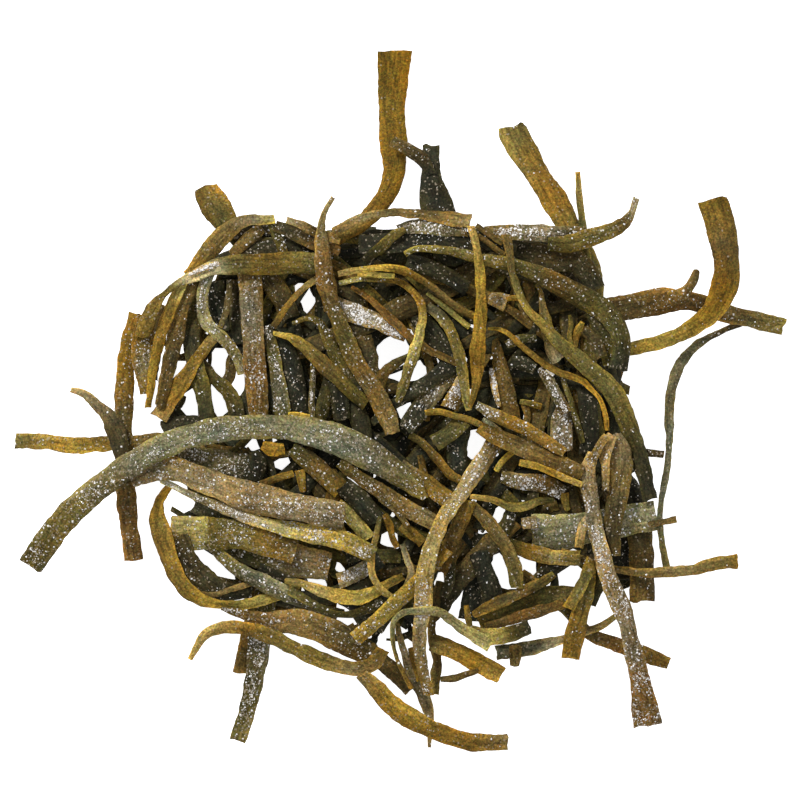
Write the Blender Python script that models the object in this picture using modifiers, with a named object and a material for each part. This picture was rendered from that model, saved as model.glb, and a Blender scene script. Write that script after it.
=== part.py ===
"""Dried sea spaghetti: a loose heap of cut, flat seaweed straps lying on a table.

Metres, +Z up. The table is z = 0 and the origin is under the middle of the whole heap.
The straps are laid one after the other over a low, lumpy core, each resting on what lies
below it and sagging no more than a stiff dried strap does. One union then fuses them all.
"""

import math

import bmesh
import bpy
import numpy as np

MM = 0.001

# The heap's dense middle: a low dome with a flat base, well inside the heap's outline.
CORE_CENTRE = (-1.0, -5.5)  # mm
CORE_HALF_LENGTH = 35.0  # mm, along X
CORE_HALF_WIDTH = 30.5  # mm, along Y
CORE_HEIGHT = 13.4  # mm
CORE_LUMP = 0.9  # mm, how far its lumps rise and fall
LUMP_SPACING = 9.0  # mm
CORE_SEGMENTS = 28
CORE_RINGS = 16
CORE_BITE = 0.6  # mm that a strap sinks into the core, whose flat facets lie a little low

# Wells through the core, where the table shows between the straps: (x, y, radius), all in mm.
WELLS = [
    (-1.2, 7.3, 2.1),
    (2.9, 4.4, 1.0),
    (1.0, -1.8, 1.0),
    (11.7, -6.6, 1.8),
    (14.7, -17.0, 1.0),
    (15.0, -25.2, 1.2),
    (19.3, -24.8, 1.2),
    (8.4, -31.2, 1.4),
    (-13.7, 14.8, 1.1),
    (-24.0, 2.2, 0.9),
    (-27.0, 5.4, 1.3),
    (-27.2, -0.2, 1.2),
    (-30.8, -0.9, 1.2),
    (-32.4, -15.2, 1.5),
]
WELL_SIDES = 7
WELL_DEPTH = 50.0  # mm, clear through the core

# Short straps that lie on the core's flank, below the straps that show from above.
FLANK_STRAPS = 23
FLANK_SEED = 4
FLANK_START = (0.12, 0.34)  # the height of one end, as a share of the core's
FLANK_END = (0.22, 0.6)  # the height of the other end
FLANK_OUT = 0.05  # how far its ends stand out, as a share of the core's half sizes
FLANK_SWEEP = (0.5, 0.85)  # radians round the core
FLANK_WIDTH = (1.6, 3.2)  # mm
FLANK_LEAN = 1.3  # the steepest slope across one

# One strap.
STRAP_THICKNESS = 0.9  # mm
BITE = 0.36  # mm that a strap sinks into another that carries it, so that the two fuse
TABLE_CLEARANCE = 0.12  # mm between a strap's lower face and the table
BEND_RADIUS = 46.0  # mm, the tightest that a dry strap sags over what carries it
LEAST_WIDTH = 1.3  # mm, thinner tips are made this wide
MOST_LEAN = 0.35  # slope across a strap
ROUTE_STEP = 0.5  # mm between the places where a strap's support is felt
SIDE_LENGTH = 4.4  # mm, the longest straight stretch of a strap
CELL = 0.5  # mm, the grid that remembers how high the heap is
REACH = 64.0  # mm from the origin to the grid's edge

# The straps from the lowest to the topmost, as they lie: (name, widths along it, route), all in mm.
# +X is to the right and +Y away from the reader, seen from above.
STRAPS = [
    ("dark_block", (3.6, 3.8), [(28, -7), (34.8, -15), (36, -22), (36.2, -30)]),
    ("black_block", (3.4, 3.4), [(12.8, -20), (11, -29), (10.3, -33)]),
    ("dark_wedge", (3.2, 3.4), [(17, -18), (9, -26.5), (5.5, -31)]),
    ("sage_band", (5.2, 4.8), [(19, -19.8), (29, -18.8), (38.3, -17.2)]),
    ("lower_fork", (1.6, 2.2, 1.9), [(18, -25), (25, -31.5), (32.5, -36.6), (40.4, -39.4)]),
    ("lower_tan", (1.3, 1.4, 2.4), [(32.3, -31.8), (21.6, -36.2), (14, -38.2)]),
    ("top_strap", (5.3, 3.8, 2.6), [(-0.7, 52.5), (-1, 38), (-2.8, 29.5), (-13, 20.5)]),
    ("top_stub", (2.6, 3, 5, 5), [(4.6, 38.1), (4.6, 34), (8, 20)]),
    ("stub_limb", (1.8, 1.6), [(5, 32.5), (2.4, 36.2), (-1.2, 38.6)]),
    ("right_diagonal", (3.9, 3.8, 1.6), [(16.4, 40.7), (22.9, 30), (28.5, 20), (29, 9)]),
    ("thin_upright", (1.3, 1.3), [(26.5, 34.1), (27.3, 26), (28, 18)]),
    ("right_brown", (4, 3.6, 2.4), [(24, 10.5), (40, 14.9), (49, 12.9), (57.6, 11.1)]),
    ("brown_spur", (2, 1.3), [(40, 14.6), (43, 17), (44.3, 19.4)]),
    ("right_hook", (4.3, 4, 2.0), [(46.7, 30), (48.8, 21), (46.8, 13.5), (39.5, 8.9), (24, 5)]),
    (
        "right_curl",
        (1.3, 1.6, 1.3),
        [(52.5, 12), (45, 8.6), (40.9, 3), (40.2, -5), (38.8, -16), (39.7, -25)],
    ),
    ("right_spur", (1.3, 1.6, 2.2), [(24, -22), (33, -25.4), (40, -25.6), (50.3, -24)]),
    ("left_level", (2.4, 2.3), [(-57.6, -6.1), (-49, -6.8), (-29, -6)]),
    ("left_upright", (2.1, 3, 2.8), [(-39.7, 12.9), (-41.2, 0), (-40.8, -15), (-39.8, -24)]),
    ("left_fork", (1.3, 2.4, 2.6), [(-49.2, 1.6), (-45.1, -0.8), (-41.4, -8)]),
    ("pale_band", (5.2, 5, 4), [(-34.2, -19.9), (-25, -20.6), (-10.5, -24.8)]),
    ("olive_band", (4.8, 4.6), [(-28.4, -20), (-15.4, -22)]),
    ("loop_inside", (3.4, 3.6, 1.6), [(-34, -22), (-28, -27), (-21, -28.2)]),
    (
        "left_loop",
        (1.4, 2.6, 2.0),
        [(-34.4, -12.8), (-36.3, -18.1), (-34.6, -24), (-29, -30), (-19, -29.3)],
    ),
    (
        "sage_diagonal",
        (1.6, 3, 1.3),
        [(-28.5, -18), (-24, -24.4), (-16, -29.8), (-8, -31.6)],
    ),
    ("speckled_bar", (4.2, 4.2), [(-33, -8.5), (-28, -9.3), (-22, -10.4)]),
    ("short_gold", (2.6, 2.9), [(-15.8, -6.6), (-8.8, -13.3)]),
    ("short_olive", (2.4, 2.4), [(-9, -15.5), (-3.5, -21.5)]),
    ("lower_stick", (2.9, 2.6, 2.3), [(-18.6, -24), (-22, -43), (-24.3, -51)]),
    ("stick_stub", (2.2, 2.2), [(-20, -26), (-23.9, -40.8)]),
    ("grey_tail", (1.3, 2.2, 1.3), [(-1.5, -33), (1.5, -40.5), (4.4, -52.2)]),
    ("tail_brown", (2.4, 2.2), [(-8, -33), (-3.5, -38.5), (1.5, -43.5)]),
    ("tail_thin", (1.3, 1.3), [(6, -26), (5.6, -37), (5.4, -44)]),
    ("lower_brown", (1.4, 4, 3), [(-26.5, -31), (-15, -33.1), (-4, -37.8)]),
    ("folded_strap", (3.6, 4.6, 3), [(12.3, -32.8), (20, -29.7), (27, -26.5)]),
    ("fold_return", (2.4, 1.8), [(11.4, -35.2), (19, -33.9)]),
    ("lower_ochre", (2.0, 3, 2.7), [(28.4, -24.5), (26.7, -31.9), (25.3, -38.5)]),
    ("gold_end", (2.6, 2.8), [(3, -35.6), (7.5, -37), (14.8, -40.8)]),
    ("gold_crumb", (2, 2), [(28, -25.5), (24.4, -31)]),
    ("inner_dark", (3, 3), [(9.5, -3), (8.5, -8), (9.5, -14)]),
    ("olive_bridge", (2.2, 2.4), [(10.5, -16.3), (15.8, -22), (26, -23.7)]),
    ("olive_fall", (1.6, 2, 2.2), [(10.5, -16.3), (15.8, -22), (18, -28.5)]),
    ("pale_short", (2.4, 2.4), [(-9.5, -26.8), (-3, -23.5)]),
    ("gold_arc", (1.3, 2, 1.3), [(-15.5, -26.5), (-8, -29.3), (-1, -27.2)]),
    ("brown_cross", (1.3, 1.3), [(0.8, -5), (8.8, -12.2)]),
    ("mauve_short", (3, 3), [(23.2, 0), (24, -4), (26, -8.5)]),
    ("shoulder_lower", (1.4, 2.2, 2.6), [(20.4, 17.2), (22.2, 10.6), (23.8, 5)]),
    ("frosted_thin", (1.3, 1.4), [(20, 5.5), (24.5, -0.8), (28, -8.5)]),
    ("middle_brown", (2.4, 3), [(14.5, 9.5), (15.8, 1), (16.8, -3)]),
    ("dark_shiny", (3, 3), [(8.5, 4.5), (3, -1.2), (0.8, -4.3)]),
    ("back_brown", (2.5, 2.5), [(1, 20.5), (10, 16.5)]),
    ("corner_stub", (4, 3.6, 3), [(-28.7, 31.5), (-25.3, 26), (-17, 15)]),
    (
        "corner_arch",
        (1.5, 1.6, 2.2, 1.4),
        [(-16.5, 26.6), (-23.4, 26.7), (-28.4, 22.5), (-32, 18.5)],
    ),
    ("corner_brown", (1.8, 1.6), [(-24.5, 22), (-16, 25), (-13, 23.5)]),
    ("back_arch", (1.5, 1.5, 2.2), [(-11, 24.6), (-2, 27.8), (11, 26.3)]),
    ("frosted_bar", (2.3, 2.3), [(12, 24.8), (20, 24.8), (27.5, 24.4)]),
    ("right_twig", (1.3, 2.3, 2.0), [(35.3, 30.2), (33.2, 26.2), (28, 24.1), (21, 23.2)]),
    ("grey_rise", (1.8, 1.8), [(-6, 20.5), (-2, 23.7), (3, 26.3)]),
    ("left_salted", (2, 2), [(-37.4, 12.5), (-39.5, 6), (-38.8, 2.3)]),
    ("left_green", (2, 2), [(-30.6, 14.5), (-32.2, 7)]),
    ("left_dark", (2.2, 2.2), [(-35.5, -4.2), (-28, -3.4)]),
    ("left_prop", (1.6, 2.4, 2.8), [(-27.7, 9.8), (-32.3, 3), (-36, -2.8)]),
    ("left_hanging", (2.4, 2.3), [(-31.5, 16.5), (-34, 9), (-36, -1)]),
    ("left_gold", (1.6, 1.7, 1.3), [(-33.9, 15.8), (-36.2, 7.5), (-37.5, -1.2)]),
    ("sage_fold", (1.6, 2), [(-28.8, 17), (-28.6, 11.3), (-23.3, 4)]),
    ("dark_upright", (2.5, 2.5), [(-19.8, 13), (-18.6, 4), (-17.5, -2.5)]),
    ("salted_upright", (3.9, 3.6, 3), [(-22.3, 18), (-22, 6), (-21, -3.5)]),
    ("dark_slope", (2.2, 2.2), [(-14.5, 6), (-11, 1), (-9.5, -3.5)]),
    ("olive_slope", (1.4, 1.5, 2), [(-19, 10), (-11.4, 5.6), (-4.8, -0.8)]),
    ("pink_strap", (3, 3), [(-11, 14.5), (-5, 12.2), (1, 10)]),
    ("red_thin", (1.3, 1.5, 1.3), [(-7.2, 16.8), (1.2, 10), (10, 5)]),
    ("gold_bow", (1.3, 1.3), [(-9, 18.7), (0, 19.4), (11, 12.6)]),
    ("olive_bow", (1.3, 1.3, 1.7), [(-7, 17.6), (1.8, 16.2), (2.8, 10), (-0.3, 1.5)]),
    (
        "shoulder",
        (1.3, 1.8, 3.2, 3),
        [(0.6, 21.8), (13, 20.6), (23, 17.8), (31, 13), (33.4, 4.4)],
    ),
    (
        "long_right",
        (1.6, 1.3, 2.3, 3.2, 2.3),
        [(15.9, 24.4), (17.4, 16.8), (23.6, 8.8), (31.8, 2), (35.4, -7.5), (37.3, -15)],
    ),
    ("gold_under", (1.3, 2.2, 2.4), [(-35.5, -12), (-18, -18.8), (-4, -23)]),
    ("brown_strap", (2.5, 4.2, 3.8), [(-39, -11.4), (-23, -14.2), (-8, -17.2)]),
    ("middle_diagonal", (2.2, 2.2), [(-9, -8.8), (-1, -14), (5, -19)]),
    (
        "lower_curl",
        (1.3, 1.9, 2.3, 2.1),
        [(-31.2, -38.6), (-27.4, -34.2), (-20, -34.9), (-10, -39), (-2.5, -38.2)],
    ),
    ("brown_behind", (2.4, 2.4), [(10, -15), (6.5, -24), (5, -28)]),
    ("olive_short", (2.4, 2.4), [(16.5, -22), (27, -23.7)]),
    ("thin_curve", (1.3, 1.3), [(10.5, -14.2), (17, -16), (24, -15.1)]),
    ("gold_short", (1.3, 1.3), [(17.8, -9.6), (27, -12.5)]),
    ("tan_spur", (1.3, 1.3), [(28.2, -17), (27, -22)]),
    ("mauve_strap", (2.2, 3.2, 2.8), [(32.1, -5.1), (32.8, -11), (31.5, -23)]),
    (
        "front_right",
        (1.6, 2.5, 2.8, 2.8, 4.2),
        [(28.9, -7), (27.9, -12.5), (31, -26.5), (35, -39), (37, -48.6)],
    ),
    (
        "big_arch",
        (3.7, 4.1, 3.6, 4.2, 3.2),
        [(-55.2, -24.8), (-48.2, -16), (-35.5, -7), (-20, -4), (-5, -7.5), (7, -15.8)],
    ),
    (
        "long_olive",
        (2.9, 2.9, 1.6, 2.2),
        [(-11.5, 20), (-25, 20.1), (-34, 16.6), (-38.5, 9.3)],
    ),
    ("leg", (2.2, 2), [(7, -22), (3.4, -27.4), (-2, -31.6), (-6.7, -35.6)]),
    (
        "main_diagonal",
        (2.4, 2.3, 2.5, 1.4),
        [(14, -6.5), (6.5, -17.3), (3.2, -30), (4.3, -44)],
    ),
    ("thin_olive", (2.2, 1.3), [(13.5, -36.8), (5, -31.2), (-1, -34)]),
    ("bottom_strap", (1.6, 2.3, 2.4), [(-5.8, -40.8), (1.2, -47.2), (16.2, -51.2)]),
    ("gold_brown", (1.8, 1.8), [(12, -4.3), (18.3, -7.6), (25, -9.4)]),
    ("salted_diagonal", (2.2, 2.2), [(11.5, -0.8), (20.4, -5.5), (28, -9.7)]),
    ("thin_gold", (1.3, 1.3), [(12.4, 10.6), (18.8, 7.6), (29.6, 0.9), (30.8, -4.5)]),
    ("golden_spike", (1.3, 1.5, 2.4, 1.4), [(10.7, 25.8), (12, 14), (11.2, 1)]),
    (
        "long_spike",
        (1.3, 2.7, 2.6, 3.2),
        [(-9.9, 30.3), (-11.5, 22), (-8.5, 10.2), (-1.4, -5.5)],
    ),
]

SEAWEED_COLOUR = (0.165, 0.118, 0.042, 1.0)  # linear olive brown
SEAWEED_ROUGHNESS = 0.7


def clear_scene():
    """Start from nothing."""
    for thing in list(bpy.data.objects):
        bpy.data.objects.remove(thing, do_unlink=True)
    for group in list(bpy.data.collections):
        bpy.data.collections.remove(group)


def seaweed_material():
    """Dull, dry, olive brown."""
    material = bpy.data.materials.new("dried_seaweed")
    material.use_nodes = True
    shader = material.node_tree.nodes["Principled BSDF"]
    shader.inputs["Base Color"].default_value = SEAWEED_COLOUR
    shader.inputs["Roughness"].default_value = SEAWEED_ROUGHNESS
    shader.inputs["Metallic"].default_value = 0.0
    material.diffuse_color = SEAWEED_COLOUR
    return material


def core_height(x, y):
    """How high the lumpy core is at a place, in mm, and 0 beside it."""
    across = (x - CORE_CENTRE[0]) / CORE_HALF_LENGTH
    along = (y - CORE_CENTRE[1]) / CORE_HALF_WIDTH
    dome = np.sqrt(np.clip(1.0 - across**2 - along**2, 0.0, 1.0))
    turn = 2.0 * math.pi / LUMP_SPACING
    lumps = np.sin(turn * x * 0.5 + 1.0) * np.cos(turn * y * 0.5) * CORE_LUMP
    return dome * (CORE_HEIGHT + lumps)


def make_core():
    """A flat-bottomed dome with low lumps."""
    shell = bmesh.new()
    bmesh.ops.create_uvsphere(shell, u_segments=CORE_SEGMENTS, v_segments=CORE_RINGS, radius=1.0)
    everything = shell.verts[:] + shell.edges[:] + shell.faces[:]
    bmesh.ops.bisect_plane(
        shell, geom=everything, plane_co=(0, 0, 0), plane_no=(0, 0, 1), clear_inner=True
    )
    rim = [edge for edge in shell.edges if edge.is_boundary]
    bmesh.ops.contextual_create(shell, geom=rim)
    for vert in shell.verts:
        x = CORE_CENTRE[0] + CORE_HALF_LENGTH * vert.co.x
        y = CORE_CENTRE[1] + CORE_HALF_WIDTH * vert.co.y
        vert.co = (x * MM, y * MM, float(core_height(x, y)) * MM if vert.co.z > 1e-4 else 0.0)
    bmesh.ops.triangulate(shell, faces=shell.faces[:])
    bmesh.ops.recalc_face_normals(shell, faces=shell.faces[:])
    mesh = bpy.data.meshes.new("sea_spaghetti_heap")
    shell.to_mesh(mesh)
    shell.free()
    return bpy.data.objects.new("sea_spaghetti_heap", mesh)


def make_wells(wells):
    """The upright openings through the core."""
    for number, (x, y, radius) in enumerate(WELLS):
        shell = bmesh.new()
        bmesh.ops.create_cone(
            shell,
            cap_ends=True,
            segments=WELL_SIDES,
            radius1=radius * MM,
            radius2=radius * MM,
            depth=WELL_DEPTH * MM,
        )
        bmesh.ops.translate(shell, verts=shell.verts[:], vec=(x * MM, y * MM, 0.0))
        mesh = bpy.data.meshes.new("well_%d" % number)
        shell.to_mesh(mesh)
        shell.free()
        wells.objects.link(bpy.data.objects.new("well_%d" % number, mesh))


def smooth_route(points, step):
    """Points about one step apart on a smooth curve through the given ones."""
    points = np.array(points, float)
    gaps = np.linalg.norm(np.diff(points, axis=0), axis=1)
    knots = np.concatenate([[0.0], np.cumsum(gaps)])
    slopes = np.gradient(points, knots, axis=0)
    count = max(3, int(round(knots[-1] / step)) + 1)
    at = np.linspace(0.0, knots[-1], count)
    span = np.clip(np.searchsorted(knots, at, side="right") - 1, 0, len(gaps) - 1)
    length = gaps[span][:, None]
    t = ((at - knots[span]) / gaps[span])[:, None]
    return (
        (2 * t**3 - 3 * t**2 + 1) * points[span]
        + (t**3 - 2 * t**2 + t) * length * slopes[span]
        + (3 * t**2 - 2 * t**3) * points[span + 1]
        + (t**3 - t**2) * length * slopes[span + 1]
    )


def cells(x, y):
    """The grid cells that hold some places."""
    last = int(2 * REACH / CELL) - 1
    column = np.clip(((x + REACH) / CELL).astype(int), 0, last)
    row = np.clip(((y + REACH) / CELL).astype(int), 0, last)
    return column, row


def lay_strap(widths, points, heights):
    """Lay one strap on the heap and add it to the heights: its route, half widths and leans."""
    route = smooth_route(points, ROUTE_STEP)
    steps = np.linalg.norm(np.diff(route, axis=0), axis=1)
    along = np.concatenate([[0.0], np.cumsum(steps)])
    share = np.linspace(0.0, along[-1], len(widths))
    half = np.maximum(np.interp(along, share, widths), LEAST_WIDTH) / 2.0
    forward = np.gradient(route, along, axis=0)
    forward /= np.linalg.norm(forward, axis=1)[:, None]
    left = np.stack([-forward[:, 1], forward[:, 0]], axis=1)

    offsets = np.linspace(-1.0, 1.0, 7)[None, :] * half[:, None]
    x = route[:, 0, None] + left[:, 0, None] * offsets
    y = route[:, 1, None] + left[:, 1, None] * offsets
    column, row = cells(x, y)
    support = np.maximum(heights[column, row] - BITE, core_height(x, y) - CORE_BITE)

    lean = (support[:, -2] - support[:, 1]) / (offsets[:, -2] - offsets[:, 1])
    window = np.ones(15) / 15.0
    lean = np.convolve(np.pad(lean, 7, mode="edge"), window, mode="valid")
    lean = np.clip(lean * 0.6, -MOST_LEAN, MOST_LEAN)
    need = (support - lean[:, None] * offsets).max(axis=1)
    sag = (along[:, None] - along[None, :]) ** 2 / (2.0 * BEND_RADIUS)
    under = (need[None, :] - sag).max(axis=1)
    droop = np.abs(lean) * half + TABLE_CLEARANCE
    under = np.maximum(under, droop)

    top = under[:, None] + STRAP_THICKNESS + lean[:, None] * offsets
    np.maximum.at(heights, (column, row), top)
    middle = under + STRAP_THICKNESS / 2.0
    return np.column_stack([route, middle]), half, lean, along


def lay_on_flank(number, chance, heights):
    """Lay one short strap on the core's flank: its route, half widths and leans."""
    start = 2.0 * math.pi * (number + chance.uniform(-0.3, 0.3)) / FLANK_STRAPS
    sweep = chance.uniform(*FLANK_SWEEP) * chance.choice((-1.0, 1.0))
    share = np.linspace(0.0, 1.0, int(abs(sweep) * CORE_HALF_LENGTH / ROUTE_STEP))
    turn = start + sweep * share
    level = chance.uniform(*FLANK_START) * (1.0 - share) + chance.uniform(*FLANK_END) * share
    out = np.sqrt(1.0 - level**2) + FLANK_OUT * (2.0 * share - 1.0) ** 4
    across, up = out * np.cos(turn), out * np.sin(turn)
    route = np.stack([across * CORE_HALF_LENGTH, up * CORE_HALF_WIDTH], axis=1) + CORE_CENTRE
    steps = np.linalg.norm(np.diff(route, axis=0), axis=1)
    along = np.concatenate([[0.0], np.cumsum(steps)])
    half = np.full(len(share), chance.uniform(*FLANK_WIDTH) / 2.0)

    forward = np.gradient(route, along, axis=0)
    forward /= np.linalg.norm(forward, axis=1)[:, None]
    fall_x = -CORE_HEIGHT * across / (CORE_HALF_LENGTH * level)
    fall_y = -CORE_HEIGHT * up / (CORE_HALF_WIDTH * level)
    lean = np.clip(fall_y * forward[:, 0] - fall_x * forward[:, 1], -FLANK_LEAN, FLANK_LEAN)
    middle = np.maximum(level * CORE_HEIGHT, half + STRAP_THICKNESS / 2.0 + TABLE_CLEARANCE)
    column, row = cells(route[:, 0], route[:, 1])
    np.maximum.at(heights, (column, row), middle + STRAP_THICKNESS / 2.0)
    return np.column_stack([route, middle]), half, lean, along


def make_strap(name, laid):
    """One flat strap as a closed mesh, from its route, half widths, leans and lengths so far."""
    route, half, lean, along = laid
    sides = max(2, int(math.ceil(along[-1] / SIDE_LENGTH)))
    picks = np.unique(np.round(np.linspace(0, len(route) - 1, sides + 1)).astype(int))

    ribbon = bpy.data.curves.new(name, "CURVE")
    ribbon.dimensions = "3D"
    ribbon.twist_mode = "Z_UP"
    ribbon.extrude = MM
    spline = ribbon.splines.new("POLY")
    spline.points.add(len(picks) - 1)
    for point, pick in zip(spline.points, picks):
        point.co = (*(route[pick] * MM), 1.0)
        point.radius = half[pick]
        point.tilt = math.pi / 2.0 + math.atan(lean[pick])
    strip = bpy.data.objects.new(name + "_curve", ribbon)
    bpy.context.scene.collection.objects.link(strip)
    body = strip.modifiers.new("thickness", "SOLIDIFY")
    body.thickness = STRAP_THICKNESS * MM
    body.offset = 0.0

    bpy.context.view_layer.update()
    evaluated = strip.evaluated_get(bpy.context.evaluated_depsgraph_get())
    mesh = bpy.data.meshes.new_from_object(evaluated)
    mesh.name = name
    strap = bpy.data.objects.new(name, mesh)
    strap.matrix_world = strip.matrix_world
    bpy.data.objects.remove(strip, do_unlink=True)

    shell = bmesh.new()
    shell.from_mesh(mesh)
    bmesh.ops.remove_doubles(shell, verts=shell.verts[:], dist=1e-6)
    bmesh.ops.triangulate(shell, faces=shell.faces[:])
    bmesh.ops.recalc_face_normals(shell, faces=shell.faces[:])
    shell.to_mesh(mesh)
    shell.free()
    return strap


def keep_largest_piece(mesh):
    """Fill sealed hollows and drop loose scraps: only the largest closed shell stays."""
    shell = bmesh.new()
    shell.from_mesh(mesh)
    unseen = set(shell.verts)
    largest = set()
    while unseen:
        group = {unseen.pop()}
        frontier = list(group)
        while frontier:
            vert = frontier.pop()
            neighbours = {edge.other_vert(vert) for edge in vert.link_edges} & unseen
            unseen -= neighbours
            group |= neighbours
            frontier.extend(neighbours)
        if len(group) > len(largest):
            largest = group
    extra = [vert for vert in shell.verts if vert not in largest]
    bmesh.ops.delete(shell, geom=extra, context="VERTS")
    shell.to_mesh(mesh)
    shell.free()


def combine(body, others, operation):
    """One Boolean of a body with a collection, applied, and the collection's objects removed."""
    step = body.modifiers.new(operation.lower(), "BOOLEAN")
    step.operation = operation
    step.operand_type = "COLLECTION"
    step.collection = others
    step.solver = "EXACT"
    bpy.context.view_layer.update()
    evaluated = body.evaluated_get(bpy.context.evaluated_depsgraph_get())
    made = bpy.data.meshes.new_from_object(evaluated)
    body.modifiers.remove(step)
    shell = bmesh.new()
    shell.from_mesh(made)
    bmesh.ops.triangulate(shell, faces=shell.faces[:])
    shell.to_mesh(made)
    shell.free()
    body.data = made
    for other in list(others.objects):
        bpy.data.objects.remove(other, do_unlink=True)
    bpy.data.collections.remove(others)


def main():
    clear_scene()
    heap = bpy.data.collections.new("dried_sea_spaghetti")
    wells = bpy.data.collections.new("wells_to_cut")
    straps = bpy.data.collections.new("straps_to_fuse")
    for group in (heap, wells, straps):
        bpy.context.scene.collection.children.link(group)

    core = make_core()
    core.data.materials.append(seaweed_material())
    heap.objects.link(core)
    make_wells(wells)
    combine(core, wells, "DIFFERENCE")

    size = int(2 * REACH / CELL)
    heights = np.zeros((size, size))
    chance = np.random.default_rng(FLANK_SEED)
    for number in range(FLANK_STRAPS):
        laid = lay_on_flank(number, chance, heights)
        straps.objects.link(make_strap("flank_%d" % number, laid))
    for name, widths, points in STRAPS:
        straps.objects.link(make_strap(name, lay_strap(widths, points, heights)))
    combine(core, straps, "UNION")
    keep_largest_piece(core.data)


main()
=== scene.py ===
"""Dried sea spaghetti: a loose heap of cut, flat seaweed straps dusted with salt.

The straps that show are laid one by one along routes read off the heap, from the lowest to the
topmost, over a dome that is computed and never drawn. Seeded straps fill the dome's place and
stand round its flank. Sizes are in millimetres until the meshes are made.
"""

import math

import bpy
import numpy as np
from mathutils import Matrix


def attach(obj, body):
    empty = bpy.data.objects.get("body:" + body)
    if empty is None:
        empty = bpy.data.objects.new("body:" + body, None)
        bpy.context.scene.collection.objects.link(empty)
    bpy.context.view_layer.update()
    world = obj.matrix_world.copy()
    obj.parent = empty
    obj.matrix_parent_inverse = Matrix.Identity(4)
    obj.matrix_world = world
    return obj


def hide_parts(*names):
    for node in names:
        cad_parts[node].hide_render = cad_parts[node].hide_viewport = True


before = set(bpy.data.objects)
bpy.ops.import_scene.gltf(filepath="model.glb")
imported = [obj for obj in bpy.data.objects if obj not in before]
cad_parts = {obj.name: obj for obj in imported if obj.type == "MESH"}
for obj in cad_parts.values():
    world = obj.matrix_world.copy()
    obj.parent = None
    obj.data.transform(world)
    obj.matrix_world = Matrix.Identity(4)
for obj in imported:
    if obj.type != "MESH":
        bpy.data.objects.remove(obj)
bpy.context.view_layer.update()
MM = 0.001
rng = np.random.default_rng(51)

# The dome that the straps are laid over, where the heap is dense.
CORE_CENTRE = (-1.0, -5.5)
CORE_HALF_LENGTH = 35.0
CORE_HALF_WIDTH = 30.5
CORE_HEIGHT = 10.0
CORE_LUMP = 0.9
LUMP_SPACING = 9.0

# How straps lie, on a map of heights.
CELL = 0.4  # the map's step
REACH = 64.0  # and how far it goes each way
SIZE = int(2 * REACH / CELL)
BITE = 0.14  # a strap may sink this far into the heights below it
BEND_RADIUS = 35.0  # no sag is tighter than this
FILL_BITE = 0.4  # the hidden straps may sink deeper and sag more
FILL_BEND = 20.0
TABLE_CLEARANCE = 0.1
PROBES = 9  # places across a strap where it feels what is below
LEAST_SPAN = 0.3
LEAN_TAKEN = 0.6  # share of the slope below that it takes up
MOST_LEAN = 0.38
LEAN_REACH = 10  # stations each way over which its lean is evened out
UNDER_REACH = 5  # and its height
UNDER_DIP = 0.1  # which that lowers by no more than this
LOOSE_LEAN = 0.42  # lean by chance, less this much for each mm of width:
LOOSE_FALL = 0.07
LOOSE_LIMITS = (0.12, 0.34)
LOOSE_WAVE = 8.0

# How straps are made.
ROUTE_STEP = 0.36
FILL_STEP = 0.8
THICK_SHARE = 0.24  # thickness over width, within the limits below
LEAST_THICKNESS = 0.42
MOST_THICKNESS = 0.95
THICK_VARIES = 0.15
THICK_TURN = 0.9  # radians of that for each mm along
TOP_SPACING = 0.5  # between the points across its upper face
TOP_COUNTS = (5, 9)  # the fewest and the most of them
PLAIN_UNDERS = 3
LEAST_UNDERS = 4
FEWER_UNDERS = 3
UPPER_REACH = 0.96  # shares of the half width
LOWER_REACH = 0.94
ROUNDING = 5
EDGE_POWER = 3  # how near the edge its unevenness keeps
EDGE_FADE = 1.4
LEAST_HALF = 0.5
CROWN = -0.12  # an edge lies this share of the half width below the middle
RAGGED = 0.28  # how far a cut end is drawn out on a strap of at least this width:
RAGGED_FROM = 3.0
RAGGED_WAVE = 0.7
LOWEST = 0.02
SHARP_FROM = math.radians(48)
SALTED_LIFT = 0.5  # salt lies where the upper face has more than this share of its height

# Noise in layers: strength, length along, length across, start across, seed.
WIDTH_LAYERS = ((0.1, 4.5, 1.0, 0.0, 11),)
EDGE_LAYERS = ((0.10, 1.7, 1.0, 0.0, 1), (0.07, 0.6, 1.0, 0.0, 2))
FACE_LAYERS = ((0.07, 1.3, 0.8, 5.0, 3), (0.05, 0.5, 0.4, 9.0, 4))
CUP_LAYERS = ((0.14, 9.0, 1.0, 2.0, 5),)
SHADE_LAYERS = ((0.22, 4.0, 1.6, 0.0, 8), (0.16, 1.4, 0.7, 0.0, 9))
# Painted shade: one side of a strap lighter and the other darker, as if the light fell from one side.
PAINTED_SIDE_SHADE_LAYERS = ((0.42, 12.0, 1.0, 4.0, 10),)
HUE_LAYERS = ((0.12, 6.0, 2.0, 0.0, 12),)
EDGES_APART = 3.0
END_SEEDS = (6, 7)
GRAINS_APART = 3.7

# How their colour varies, with painted shade across and under each strap and painted light on its rims.
SHADE_LIMITS = (0.45, 1.7)
# Painted shade: the underside of each strap is darkened by this share.
UNDERSIDE_PAINTED_SHADE = 0.28
HUE_TURN = np.array([1.0, 0.2, -1.2])
# Painted light along a strap's edges and cut ends, as light coming through the thin weed.
PAINTED_RIM_LIGHT_POWER = 4
PAINTED_END_LIGHT_REACH = 0.3  # this far from a cut end the painted rim light shows
PAINTED_END_LIGHT_STRENGTH = 0.8

# Which strap goes into which piece, by its greatest width.
BROAD = 2.6
THIN = 1.3

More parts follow.
